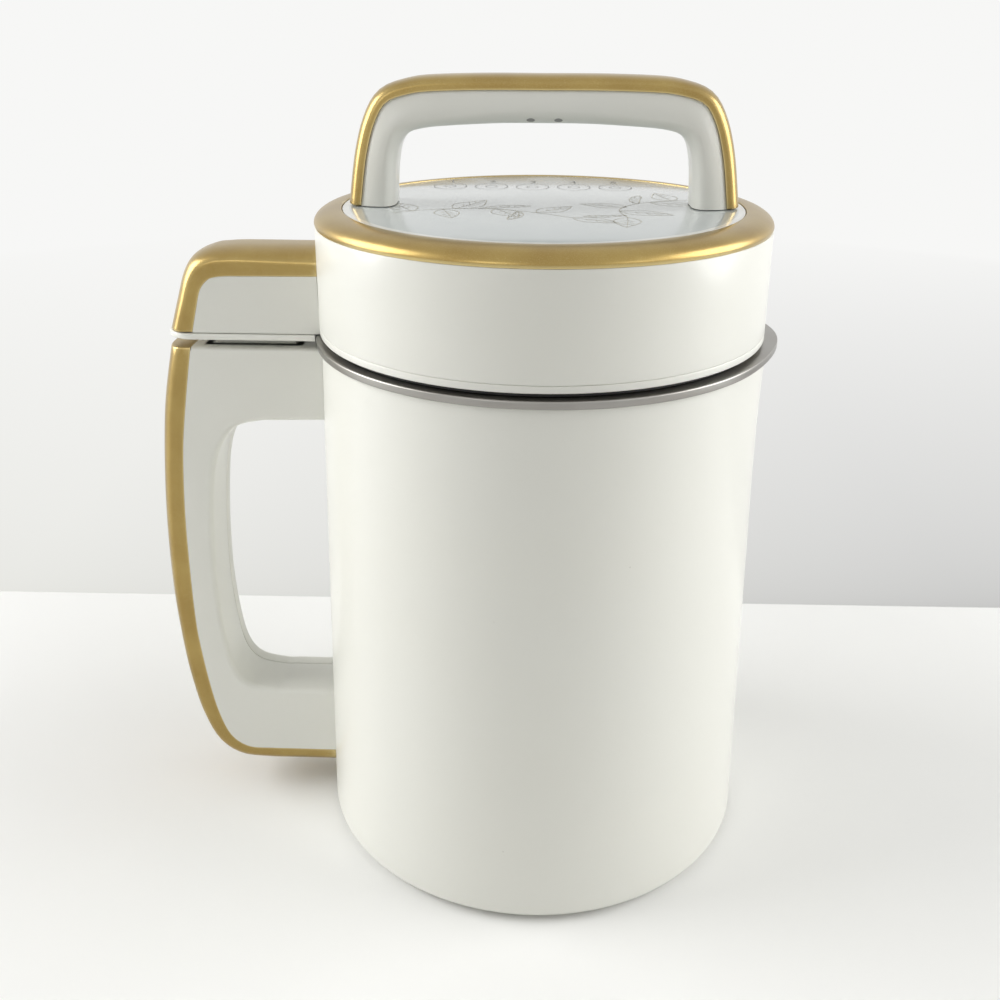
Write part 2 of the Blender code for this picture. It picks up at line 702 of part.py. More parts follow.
def around(count, radius, start=0.0):
    """Places evenly round the axis, as (angle, x, y)."""
    places = []
    for index in range(count):
        angle = start + 2 * math.pi * index / count
        places.append((angle, radius * math.cos(angle), radius * math.sin(angle)))
    return places


def shell_radius(height):
    """Outer radius of the jug's shell at a height above the floor."""
    share = (height - SHELL_BASE_Z) / SHELL_HEIGHT
    return SHELL_BASE_RADIUS + (SHELL_TOP_RADIUS - SHELL_BASE_RADIUS) * share


def drum_radius(height):
    """Outer radius of the head's drum at a height above the floor."""
    share = (height - DRUM_BASE_Z) / DRUM_HEIGHT
    return DRUM_BASE_RADIUS + (DRUM_TOP_RADIUS - DRUM_BASE_RADIUS) * share


def cone_cutter(name, radius_at, low, high, margin):
    """A solid of revolution that follows a wall at a margin, to fit a piece against that wall."""
    profile = [(0, high), (radius_at(high) + margin, high), (radius_at(low) + margin, low), (0, low)]
    return turned(name, profile, None, LARGE_STEPS)


def mirrored(run):
    """A run of (x, z) points in -X, for pieces on the handle side."""
    return [(-x, z) for x, z in run]


def lip_swell(angle):
    """How far the rim stands out at an angle: a soft swell with a pouring nose opposite the handle."""
    facing = max(math.cos(angle), 0.0)
    return LIP_REACH * (LIP_NOSE_SHARE * facing ** LIP_NOSE_POWER + (1 - LIP_NOSE_SHARE) * facing)


def turned_with_lip(name, profile, finish):
    """A profile of (radius, height, share of the lip's swell) points spun about Z."""
    shape = bmesh.new()
    rings = []
    for radius, height, share in profile:
        if radius == 0:
            rings.append([shape.verts.new((0, 0, height))] * LARGE_STEPS)
            continue
        ring = []
        for angle, x, y in around(LARGE_STEPS, 1.0):
            reach = radius + share * lip_swell(angle)
            ring.append(shape.verts.new((x * reach, y * reach, height)))
        rings.append(ring)
    pairs = list(zip(rings, rings[1:]))
    if profile[0][0] > 0:
        pairs.append((rings[-1], rings[0]))
    for near, far in pairs:
        for index in range(LARGE_STEPS):
            after = (index + 1) % LARGE_STEPS
            corners = dict.fromkeys((near[index], near[after], far[after], far[index]))
            shape.faces.new(list(corners))
    bmesh.ops.recalc_face_normals(shape, faces=shape.faces)
    mesh = bpy.data.meshes.new(name)
    shape.to_mesh(mesh)
    shape.free()
    return shop.add(name, mesh, finish)


def make_outer_shell():
    """White jug shell: a tapered tube with a rounded foot, a lip and a ledge for the base cover."""
    base = SHELL_BASE_Z
    ledge_top = base + SHELL_WALL
    inner_low = shell_radius(ledge_top) - SHELL_WALL
    edge = arc(
        (shell_radius(base) - SHELL_EDGE_RADIUS, base + SHELL_EDGE_RADIUS), SHELL_EDGE_RADIUS, 0, -90, 4
    )
    swell = [(base + height * SHELL_HEIGHT, share) for height, share in SHELL_SWELL_SHARES]
    profile = [(shell_radius(height), height, share) for height, share in swell]
    profile += [(radius, height, 0.0) for radius, height in edge]
    profile += [(inner_low - SHELL_LEDGE, base, 0.0), (inner_low - SHELL_LEDGE, ledge_top, 0.0)]
    profile += [(inner_low, ledge_top, 0.0)]
    profile += [(shell_radius(height) - SHELL_WALL, height, share) for height, share in swell[::-1]]
    shell = turned_with_lip("outer_shell", profile, "white_gloss")
    screw_hole = HANDLE_SCREW_RADIUS + CLEARANCE
    for label, height, side, radius in (
        ("upper", UPPER_SCREW_HEIGHT, -HANDLE_SCREW_OFFSET, screw_hole),
        ("lower", LOWER_SCREW_HEIGHT, -HANDLE_SCREW_OFFSET, screw_hole),
        ("port", PORT_HEIGHT, 0, PORT_RADIUS),
    ):
        inside = shell_radius(height) - SHELL_WALL - CUT_OVERRUN
        hole = bar(
            f"shell_hole_{label}", radius, (-inside, side, height), (-1, 0, 0),
            SHELL_WALL + 2 * CUT_OVERRUN, None
        )
        cut(shell, hole)


def make_inner_cup():
    """Steel cup: floor, rounded corner, tapered wall and a rim with a lip that folds over the shell."""
    wall = CUP_WALL
    floor = CUP_FLOOR_HEIGHT
    corner = (CUP_BASE_RADIUS - CUP_CORNER_RADIUS, floor + CUP_CORNER_RADIUS)
    hem_low = RIM_TOP_Z - CUP_RIM_HEM
    profile = [(0, floor)]
    profile += arc(corner, CUP_CORNER_RADIUS, -90, 0, 3)
    profile += [(CUP_NECK_RADIUS, RIM_TOP_Z - wall)]
    profile += [(CUP_NECK_RADIUS + wall, RIM_TOP_Z)]
    profile += [(CUP_RIM_RADIUS - wall / 2, RIM_TOP_Z), (CUP_RIM_RADIUS, RIM_TOP_Z - wall / 2)]
    profile += [(CUP_RIM_RADIUS, hem_low), (CUP_RIM_RADIUS - wall, hem_low)]
    profile += [(CUP_RIM_RADIUS - wall, RIM_TOP_Z - wall), (CUP_NECK_RADIUS + 2 * wall, RIM_TOP_Z - wall)]
    profile += [(CUP_NECK_RADIUS + wall, RIM_TOP_Z - 2 * wall)]
    profile += arc(corner, CUP_CORNER_RADIUS + wall, 0, -90, 3)
    profile += [(0, floor - wall)]
    folded = CUP_RIM_RADIUS - wall
    lipped = [(radius, height, 1.0 if radius >= folded else 0.0) for radius, height in profile]
    turned_with_lip("inner_cup", lipped, "brushed_steel")


def make_base():
    """Base cover, feet, screws and the frame that carries the cup and the heater."""
    step_z = SHELL_BASE_Z + SHELL_WALL + CLEARANCE
    rim_radius = COVER_RADIUS + SHELL_LEDGE / 2
    profile = [
        (0, COVER_TOP_Z), (COVER_DISH_RADIUS, COVER_TOP_Z), (COVER_DISH_RADIUS, COVER_TOP_Z + COVER_STEP),
        (rim_radius, COVER_TOP_Z + COVER_STEP), (rim_radius, step_z), (COVER_RADIUS, step_z),
        (COVER_RADIUS, COVER_BASE_Z), (0, COVER_BASE_Z),
    ]
    cover = turned("base_cover", profile, "base_plastic", LARGE_STEPS)

    stem_top = COVER_TOP_Z - CLEARANCE
    pad_top = COVER_BASE_Z - CLEARANCE
    foot_profile = [
        (0, stem_top), (FOOT_STEM_RADIUS, stem_top), (FOOT_STEM_RADIUS, pad_top), (FOOT_RADIUS, pad_top),
        (FOOT_RADIUS, FOOT_EDGE), (FOOT_RADIUS - FOOT_EDGE, 0), (0, 0),
    ]
    for number, (_, x, y) in enumerate(around(FOOT_COUNT, FOOT_CIRCLE_RADIUS, math.pi), start=1):
        turned(f"foot_{number}", foot_profile, "pale_rubber", SMALL_STEPS, location=(x, y, 0))
        hole = rod(
            f"foot_hole_{number}", FOOT_STEM_RADIUS + CLEARANCE, COVER_BASE_Z - CUT_OVERRUN,
            COVER_TOP_Z + CUT_OVERRUN, None, x, y
        )
        cut(cover, hole)

    frame_floor = FRAME_BASE_Z + FRAME_FLOOR
    ring_inner = FRAME_RING_RADIUS - FRAME_RING_WALL
    frame = turned(
        "base_frame",
        [
            (FRAME_RING_RADIUS, PLATE_TOP_Z), (FRAME_RING_RADIUS, frame_floor),
            (FRAME_RADIUS, frame_floor), (FRAME_RADIUS, FRAME_BASE_Z),
            (ring_inner - FRAME_RING_WALL, FRAME_BASE_Z), (ring_inner - FRAME_RING_WALL, frame_floor),
            (ring_inner, frame_floor), (ring_inner, PLATE_TOP_Z),
        ],
        "base_plastic", INNER_STEPS,
    )
    screw_top = COVER_BASE_Z + BASE_SCREW_HEAD + BASE_SCREW_LENGTH
    for number, (_, x, y) in enumerate(around(FOOT_COUNT, FOOT_CIRCLE_RADIUS, 0.0), start=1):
        boss_top = FRAME_BASE_Z + FRAME_BOSS_HEIGHT
        boss = rod(f"frame_boss_{number}", FRAME_BOSS_RADIUS, FRAME_BASE_Z, boss_top, None, x, y)
        join(frame, boss)
        bore = rod(
            f"boss_bore_{number}", BASE_SCREW_RADIUS + CLEARANCE, FRAME_BASE_Z - CUT_OVERRUN,
            screw_top + CLEARANCE, None, x, y
        )
        cut(frame, bore)
        sink = turned(
            f"screw_sink_{number}",
            [
                (0, COVER_TOP_Z + CUT_OVERRUN), (BASE_SCREW_RADIUS + CLEARANCE, COVER_TOP_Z + CUT_OVERRUN),
                (BASE_SCREW_RADIUS + CLEARANCE, COVER_BASE_Z + BASE_SCREW_HEAD + CLEARANCE),
                (BASE_SCREW_HEAD_RADIUS + CLEARANCE, COVER_BASE_Z + BASE_SCREW_HEAD + CLEARANCE),
                (BASE_SCREW_HEAD_RADIUS + CLEARANCE, COVER_BASE_Z - CUT_OVERRUN),
                (0, COVER_BASE_Z - CUT_OVERRUN),
            ],
            None, SMALL_STEPS, location=(x, y, 0),
        )
        cut(cover, sink)
        turned(
            f"base_screw_{number}",
            [
                (0, screw_top), (BASE_SCREW_RADIUS, screw_top),
                (BASE_SCREW_RADIUS, COVER_BASE_Z + BASE_SCREW_HEAD),
                (BASE_SCREW_HEAD_RADIUS, COVER_BASE_Z + BASE_SCREW_HEAD),
                (BASE_SCREW_HEAD_RADIUS, COVER_BASE_Z), (0, COVER_BASE_Z),
            ],
            "brushed_steel", SMALL_STEPS, location=(x, y, 0),
        )
    slot = box(
        "frame_wire_slot",
        (-FRAME_RADIUS, -PORT_RADIUS, PORT_HEIGHT - 2 * PORT_RADIUS - HEATER_TUBE_RADIUS),
        (-ring_inner + CUT_OVERRUN, PORT_RADIUS, PLATE_TOP_Z + CUT_OVERRUN), None
    )
    cut(frame, slot)


def make_heater():
    """Aluminium plate under the cup, the tube heater below it, the thermostat in the middle."""
    turned(
        "heating_plate",
        [(0, PLATE_TOP_Z), (PLATE_RADIUS, PLATE_TOP_Z), (PLATE_RADIUS, PLATE_BASE_Z), (0, PLATE_BASE_Z)],
        "aluminium", MEDIUM_STEPS,
    )
    tube_z = PLATE_BASE_Z - CLEARANCE - HEATER_TUBE_RADIUS
    half_gap = HEATER_GAP_DEGREES / 2
    run = arc((0, 0), HEATER_RING_RADIUS, 180 + half_gap, 540 - half_gap, INNER_STEPS)
    tube("heating_tube", [(x, y, tube_z) for x, y in run], HEATER_TUBE_RADIUS, "brushed_steel", 1)
    cap_top = PLATE_BASE_Z - CLEARANCE
    rim_z = cap_top - THERMOSTAT_HEIGHT / 2
    turned(
        "thermostat",
        [
            (0, cap_top), (THERMOSTAT_CAP_RADIUS, cap_top), (THERMOSTAT_CAP_RADIUS, rim_z),
            (THERMOSTAT_RADIUS, rim_z), (THERMOSTAT_RADIUS, cap_top - THERMOSTAT_HEIGHT),
            (0, cap_top - THERMOSTAT_HEIGHT),
        ],
        "black_plastic", SMALL_STEPS,
    )


def handle_curves():
    """Crest, seam and opening of the jug handle in X and Z, from top to bottom."""
    crest = smooth_curve(scaled(HANDLE_CREST_SHARES, HANDLE_REACH, HANDLE_HEIGHT, HANDLE_BOTTOM), 2)
    seam = smooth_curve(scaled(HANDLE_SEAM_SHARES, HANDLE_REACH, HANDLE_HEIGHT, HANDLE_BOTTOM), 2)
    opening = smooth_curve(scaled(HANDLE_OPENING_SHARES, HANDLE_REACH, HANDLE_HEIGHT, HANDLE_BOTTOM), 2)
    return mirrored(crest), mirrored(seam), mirrored(opening)


def harness_route():
    """Wiring from the socket down the hollow spine and through the shell to the thermostat."""
    run = scaled(HARNESS_SHARES, HANDLE_REACH, HANDLE_HEIGHT, HANDLE_BOTTOM)
    top_z = HANDLE_TOP_Z - SOCKET_HEIGHT - CLEARANCE
    inner = shell_radius(PORT_HEIGHT) - SHELL_WALL
    tube_z = PLATE_BASE_Z - CLEARANCE - THERMOSTAT_HEIGHT / 2 - HARNESS_RADIUS
    places = [
        (COUPLER_REACH, top_z - 2 * HARNESS_RADIUS),
        (COUPLER_REACH + 3 * HARNESS_RADIUS, top_z - 3 * HARNESS_RADIUS),
        (COUPLER_REACH + 8 * HARNESS_RADIUS, top_z - 4 * HARNESS_RADIUS),
    ]
    places += run
    places += [(inner + SHELL_WALL + CUT_OVERRUN, PORT_HEIGHT), (inner - CUT_OVERRUN, PORT_HEIGHT)]
    places += [(FRAME_RING_RADIUS, tube_z), (HEATER_RING_RADIUS, tube_z)]
    places += [(THERMOSTAT_RADIUS + CLEARANCE, tube_z)]
    return [(-x, 0.0, z) for x, z in [(COUPLER_REACH, top_z)] + smooth_curve(places, 2)]


def screw_seat(height):
    """Distance from the axis at which a handle screw's flat head clears the curved wall behind it."""
    inner_radius = shell_radius(height + HANDLE_SCREW_HEAD_RADIUS) - SHELL_WALL
    wall_radius = inner_radius * math.cos(math.pi / LARGE_STEPS)
    side = HANDLE_SCREW_OFFSET + HANDLE_SCREW_HEAD_RADIUS
    return math.sqrt(wall_radius ** 2 - side ** 2) - CLEARANCE


def make_handle():
    """Jug handle: a hollow body in two parts, a gold strip over the spine, screws and wiring."""
    crest, seam, opening = handle_curves()
    depth = HANDLE_HALF_DEPTH
    low = HANDLE_BOTTOM - CUT_OVERRUN
    high = HANDLE_TOP_Z + CUT_OVERRUN
    body_clear = cone_cutter("body_clear", shell_radius, low, high, CLEARANCE)

    def trim_outline(inset):
        return level_end(offset_run(crest, inset), 0, HANDLE_TOP_Z) + seam[::-1]

    trim = loft(
        "handle_trim", rounded_sections(depth, TRIM_SIDE, TRIM_CROWN, 3, trim_outline), "gold_paint"
    )
    cut(trim, body_clear)

    outer = level_end(offset_run(seam, CLEARANCE), 0, HANDLE_TOP_Z)

    def body_outline(inset):
        return outer + offset_run(opening, -inset)[::-1] + [(opening[0][0], HANDLE_TOP_Z)]

    front_edge = rounding(-depth, HANDLE_EDGE, HANDLE_EDGE, 2)
    back_edge = rounding(depth, HANDLE_EDGE, HANDLE_EDGE, 2)
    front = loft(
        "handle_front",
        [(y, body_outline(inset)) for y, inset in front_edge + [(HANDLE_SPLIT - CLEARANCE / 2, 0.0)]],
        "white_gloss",
    )
    back = loft(
        "handle_back",
        [(y, body_outline(inset)) for y, inset in back_edge + [(HANDLE_SPLIT + CLEARANCE / 2, 0.0)]],
        "white_gloss",
    )

    hollow_outer = offset_run(seam, HANDLE_WALL)
    hollow_inner = offset_run(opening, -HANDLE_WALL)
    hollow_corner = [(opening[0][0], HANDLE_TOP_Z)]
    hollow = side_solid(
        "handle_hollow", hollow_outer + hollow_inner[::-1] + hollow_corner, HANDLE_WALL - depth,
        depth - HANDLE_WALL, None
    )
    root_clear = cone_cutter("root_clear", shell_radius, low, high, HANDLE_ROOT_LENGTH)
    cut(hollow, root_clear)
    top_wall = box(
        "handle_top_wall",
        (-HANDLE_REACH, -depth - CUT_OVERRUN, HANDLE_TOP_Z - HANDLE_WALL),
        (0, depth + CUT_OVERRUN, HANDLE_TOP_Z + CUT_OVERRUN), None
    )
    cut(hollow, top_wall)
    socket_room = box(
        "socket_room",
        (-COUPLER_REACH - SOCKET_LENGTH / 2 - CLEARANCE, -SOCKET_DEPTH / 2 - CLEARANCE,
         HANDLE_TOP_Z - SOCKET_HEIGHT - CLEARANCE),
        (-COUPLER_REACH + SOCKET_LENGTH / 2 + CLEARANCE, SOCKET_DEPTH / 2 + CLEARANCE,
         HANDLE_TOP_Z + CUT_OVERRUN), None
    )
    for half in (front, back):
        cut(half, body_clear, hollow, socket_room)

    for label, height in (("upper", UPPER_SCREW_HEIGHT), ("lower", LOWER_SCREW_HEIGHT)):
        inside = screw_seat(height)
        turned(
            f"handle_screw_{label}",
            [
                (0, HANDLE_SCREW_LENGTH), (HANDLE_SCREW_RADIUS, HANDLE_SCREW_LENGTH),
                (HANDLE_SCREW_RADIUS, 0), (HANDLE_SCREW_HEAD_RADIUS, 0),
                (HANDLE_SCREW_HEAD_RADIUS, -HANDLE_SCREW_HEAD / 2),
                (HANDLE_SCREW_RADIUS, -HANDLE_SCREW_HEAD), (0, -HANDLE_SCREW_HEAD),
            ],
            "brushed_steel", SMALL_STEPS, location=(-inside, -HANDLE_SCREW_OFFSET, height),
            rotation=(0, -math.pi / 2, 0),
        )
        hole = bar(
            f"handle_hole_{label}", HANDLE_SCREW_RADIUS + CLEARANCE, (-inside, -HANDLE_SCREW_OFFSET, height),
            (-1, 0, 0), HANDLE_SCREW_LENGTH + CLEARANCE, None
        )
        cut(front, hole)
    port = bar(
        "handle_port", PORT_RADIUS, (-shell_radius(PORT_HEIGHT) + CUT_OVERRUN, 0, PORT_HEIGHT), (-1, 0, 0),
        HANDLE_ROOT_LENGTH + 2 * CUT_OVERRUN, None
    )
    cut(front, port)
    tube("harness", harness_route(), HARNESS_RADIUS, "dark_rubber", 1)


def make_coupler():
    """Socket in the handle's top and plug under the side block, which meet when the head is down."""
    top = HANDLE_TOP_Z
    socket = box(
        "coupler_socket",
        (-COUPLER_REACH - SOCKET_LENGTH / 2, -SOCKET_DEPTH / 2, top - SOCKET_HEIGHT),
        (-COUPLER_REACH + SOCKET_LENGTH / 2, SOCKET_DEPTH / 2, top), "white_gloss",
    )
    pocket = box(
        "socket_pocket",
        (-COUPLER_REACH - PLUG_LENGTH / 2 - PLUG_GAP, -PLUG_DEPTH / 2 - PLUG_GAP, top - SOCKET_POCKET),
        (-COUPLER_REACH + PLUG_LENGTH / 2 + PLUG_GAP, PLUG_DEPTH / 2 + PLUG_GAP, top + CUT_OVERRUN), None
    )
    cut(socket, pocket)
    contact_top = top - SOCKET_POCKET - CLEARANCE
    first = -COUPLER_REACH - PIN_PITCH * (PIN_COUNT - 1) / 2
    pin_bottom = TONGUE_BASE_Z - PLUG_DROP
    for number in range(PIN_COUNT):
        x = first + number * PIN_PITCH
        hole = rod(
            f"contact_hole_{number + 1}", CONTACT_RADIUS + CLEARANCE, top - SOCKET_HEIGHT - CUT_OVERRUN,
            top, None, x
        )
        cut(socket, hole)
        turned(
            f"coupler_contact_{number + 1}",
            [
                (CONTACT_BORE, contact_top), (CONTACT_RADIUS, contact_top),
                (CONTACT_RADIUS, contact_top - CONTACT_LENGTH), (CONTACT_BORE, contact_top - CONTACT_LENGTH),
            ],
            "brass", SMALL_STEPS, location=(x, 0, 0),
        )
    shop.carrier = shop.head
    flange = box(
        "plug_flange",
        (-COUPLER_REACH - PLUG_LENGTH / 2 - PLUG_FLANGE_MARGIN, -PLUG_DEPTH / 2 - PLUG_FLANGE_MARGIN,
         TONGUE_TOP_Z + CLEARANCE),
        (-COUPLER_REACH + PLUG_LENGTH / 2 + PLUG_FLANGE_MARGIN, PLUG_DEPTH / 2 + PLUG_FLANGE_MARGIN,
         TONGUE_TOP_Z + CLEARANCE + PLUG_FLANGE), None
    )
    plug_top = TONGUE_TOP_Z + PLUG_HEIGHT
    plug = box(
        "coupler_plug",
        (-COUPLER_REACH - PLUG_LENGTH / 2, -PLUG_DEPTH / 2, pin_bottom + PLUG_GAP),
        (-COUPLER_REACH + PLUG_LENGTH / 2, PLUG_DEPTH / 2, plug_top), "white_gloss",
    )
    join(plug, flange)
    for number in range(PIN_COUNT):
        x = first + number * PIN_PITCH
        low = pin_bottom - PIN_LENGTH / 2
        hole = rod(f"pin_hole_{number + 1}", PIN_RADIUS + CLEARANCE, low, plug_top + CUT_OVERRUN, None, x)
        cut(plug, hole)
        turned(
            f"coupler_pin_{number + 1}",
            [
                (0, plug_top), (PIN_RADIUS, plug_top), (PIN_RADIUS, low + PIN_RADIUS), (PIN_RADIUS / 2, low),
                (0, low),
            ],
            "brass", TINY_STEPS, location=(x, 0, 0),
        )


def tongue_outline():
    """Plan of the flange under the side block: straight sides and a rounded outer end."""
    reach = BLOCK_REACH + TONGUE_MARGIN
    half = BLOCK_HALF_DEPTH + TONGUE_MARGIN
    corner = TONGUE_END_RADIUS
    points = [(-TONGUE_ROOT, -half), (-TONGUE_ROOT, half)]
    points += arc((-reach + corner, half - corner), corner, 90, 180, 5)
    points += arc((-reach + corner, corner - half), corner, 180, 270, 5)
    return points


def make_head_base():
    """Lower part of the head: flange, spigot in the cup's mouth, motor well and the block's floor."""
    spigot = CUP_NECK_RADIUS - SPIGOT_GAP
    well = MOTOR_WELL_RADIUS
    spigot_low = RIM_TOP_Z - SPIGOT_DEPTH
    well_low = FLANGE_BASE_Z - MOTOR_WELL_DEPTH
    profile = [
        (well, FLANGE_TOP_Z), (DRUM_BASE_RADIUS, FLANGE_TOP_Z), (DRUM_BASE_RADIUS, FLANGE_BASE_Z),
        (spigot, FLANGE_BASE_Z), (spigot, spigot_low), (spigot - SPIGOT_WALL, spigot_low),
        (spigot - SPIGOT_WALL, FLANGE_BASE_Z), (well + MOTOR_WELL_WALL, FLANGE_BASE_Z),
        (well + MOTOR_WELL_WALL, well_low), (well, well_low),
    ]
    base = turned("head_base", profile, "white_gloss", LARGE_STEPS)
    tongue = plan_solid("block_floor", tongue_outline(), TONGUE_BASE_Z, TONGUE_TOP_Z, None)
    riser_depth = BLOCK_HALF_DEPTH - BLOCK_WALL - CLEARANCE
    riser = box(
        "floor_riser", (-TONGUE_ROOT - RISER_THICKNESS, -riser_depth, TONGUE_TOP_Z - TONGUE_THICKNESS / 2),
        (-TONGUE_ROOT, riser_depth, FLANGE_TOP_Z), None
    )
    bridge = box(
        "floor_bridge", (-TONGUE_ROOT - RISER_THICKNESS / 2, -riser_depth, FLANGE_BASE_Z),
        (-spigot - SPIGOT_WALL, riser_depth, FLANGE_TOP_Z), None
    )
    join(base, tongue, riser, bridge)
    hole_length = PLUG_LENGTH / 2 + CLEARANCE
    hole_depth = PLUG_DEPTH / 2 + CLEARANCE
    plug_hole = box(
        "plug_hole", (-COUPLER_REACH - hole_length, -hole_depth, TONGUE_BASE_Z - CUT_OVERRUN),
        (-COUPLER_REACH + hole_length, hole_depth, TONGUE_TOP_Z + CUT_OVERRUN), None
    )
    cut(base, plug_hole)
    board_x = (POWER_BOARD_INNER + POWER_BOARD_OUTER) / 2
    for number, side in enumerate((-1, 1), start=1):
        post = rod(
            f"board_post_{number}", BOARD_POST_RADIUS, FLANGE_BASE_Z + CLEARANCE,
            FLANGE_TOP_Z + BOARD_POST_HEIGHT, None, board_x, side * POWER_BOARD_HALF_DEPTH / 2
        )
        join(base, post)
    for name, radius, side in (("probe", PROBE_RADIUS, 1), ("electrode", ELECTRODE_RADIUS, -1)):
        hole = rod(
            f"{name}_hole", radius + CLEARANCE, FLANGE_BASE_Z - CUT_OVERRUN, FLANGE_TOP_Z + CUT_OVERRUN, None,
            0.0, side * PROBE_CIRCLE_RADIUS
        )
        cut(base, hole)
    seal_inner = spigot + CLEARANCE
    turned(
        "seal_ring",
        [
            (seal_inner, FLANGE_BASE_Z - CLEARANCE), (SEAL_RADIUS, FLANGE_BASE_Z - CLEARANCE),
            (SEAL_RADIUS, RIM_TOP_Z + CLEARANCE), (seal_inner, RIM_TOP_Z + CLEARANCE),
        ],
        "dark_rubber", LARGE_STEPS,
    )


def block_curves():
    """Crest and seam of the side block in X and Z, from the drum to the outer end."""
    crest = smooth_curve(scaled(BLOCK_CREST_SHARES, BLOCK_REACH, BLOCK_HEIGHT, BLOCK_BASE_Z), 2)
    seam = smooth_curve(scaled(BLOCK_SEAM_SHARES, BLOCK_REACH, BLOCK_HEIGHT, BLOCK_BASE_Z), 2)
    return mirrored(crest), mirrored(seam)


def make_head_shell():
    """Drum and side block in one hollow moulding, with a deck under the panel."""
    crest, seam = block_curves()
    step = PANEL_RADIUS
    inner = DRUM_TOP_RADIUS - DRUM_WALL
    deck_low = DRUM_TOP_Z - DECK_THICKNESS
    profile = [
        (DECK_HOLE_RADIUS, DECK_TOP_Z), (step, DECK_TOP_Z), (step, DRUM_TOP_Z), (DRUM_TOP_RADIUS, DRUM_TOP_Z),
        (DRUM_BASE_RADIUS, DRUM_BASE_Z), (DRUM_BASE_RADIUS - DRUM_WALL, DRUM_BASE_Z), (inner, deck_low),
        (DECK_HOLE_RADIUS, deck_low),
    ]
    shell = turned("head_shell", profile, "white_gloss", LARGE_STEPS)
    depth = BLOCK_HALF_DEPTH
    root = inner - CUT_OVERRUN
    block_top = level_end(offset_run(seam, CLEARANCE), -1, BLOCK_BASE_Z)
    wall_points = [(-root, block_top[0][1])] + [p for p in block_top if p[0] < -root]
    wall_points += [(-root, BLOCK_BASE_Z)]
    block = side_solid("block_walls", wall_points, -depth, depth, None)
    join(shell, block)
    hollow_low = BLOCK_BASE_Z - CUT_OVERRUN
    hollow_top = level_end(offset_run(seam, CLEARANCE + BLOCK_WALL), -1, hollow_low)
    far = root - 2 * CUT_OVERRUN
    hollow_points = [(-far, hollow_top[0][1])] + [p for p in hollow_top if p[0] < -far] + [(-far, hollow_low)]
    hollow = side_solid("block_hollow", hollow_points, BLOCK_WALL - depth, depth - BLOCK_WALL, None)
    cut(shell, hollow)
    room = turned(
        "drum_room",
        [
            (0, deck_low), (inner, deck_low), (DRUM_BASE_RADIUS - DRUM_WALL, DRUM_BASE_Z),
            (DRUM_BASE_RADIUS + CLEARANCE, DRUM_BASE_Z), (DRUM_BASE_RADIUS + CLEARANCE, hollow_low),
            (0, hollow_low),
        ],
        None, LARGE_STEPS,
    )
    cut(shell, room)
    inlet_z = BLOCK_BASE_Z + INLET_RISE
    window_half = INLET_LENGTH / 2 + CLEARANCE
    window = box(
        "inlet_window", (-INLET_REACH - window_half, 0, inlet_z - CLEARANCE),
        (-INLET_REACH + window_half, depth + CUT_OVERRUN, inlet_z + INLET_HEIGHT + CLEARANCE), None
    )
    cut(shell, window)
    for number, side in enumerate((-1, 1), start=1):
        hole = rod(
            f"deck_hole_{number}", STUD_RADIUS + CLEARANCE, deck_low - CUT_OVERRUN,
            DECK_TOP_Z + CUT_OVERRUN, None, side * STUD_REACH
        )
        cut(shell, hole)

    def trim_outline(inset):
        return level_end(offset_run(crest, inset), -1, BLOCK_BASE_Z) + seam[::-1]

    trim = loft(
        "block_trim", rounded_sections(depth, BLOCK_SIDE, BLOCK_CROWN, 3, trim_outline), "gold_paint"
    )
    drum_clear = cone_cutter(
        "drum_clear", drum_radius, DRUM_BASE_Z - 2 * CUT_OVERRUN, DRUM_TOP_Z, CLEARANCE
    )
    cut(trim, drum_clear)


def make_inlet():
    """Recessed power inlet in the block's rear face, with its three pins."""
    low_z = BLOCK_BASE_Z + INLET_RISE
    back = BLOCK_HALF_DEPTH
    front = back - INLET_DEPTH
    left = -INLET_REACH - INLET_LENGTH / 2
    right = -INLET_REACH + INLET_LENGTH / 2
    inlet = box("power_inlet", (left, front, low_z), (right, back, low_z + INLET_HEIGHT), "black_plastic")
    recess = box(
        "inlet_recess", (left + INLET_WALL, front + INLET_WALL, low_z + INLET_WALL),
        (right - INLET_WALL, back + CUT_OVERRUN, low_z + INLET_HEIGHT - INLET_WALL), None
    )
    cut(inlet, recess)
    middle = low_z + INLET_HEIGHT / 2
    for number in range(INLET_PIN_COUNT):
        x = -INLET_REACH + (number - (INLET_PIN_COUNT - 1) / 2) * INLET_PIN_PITCH
        start = (x, front - INLET_WALL, middle)
        hole = bar(
            f"inlet_hole_{number + 1}", INLET_PIN_RADIUS + CLEARANCE, start, (0, 1, 0), INLET_PIN_LENGTH, None
        )
        cut(inlet, hole)
        bar(
            f"inlet_pin_{number + 1}", INLET_PIN_RADIUS, start, (0, 1, 0), INLET_PIN_LENGTH, "brass",
            TINY_STEPS
        )


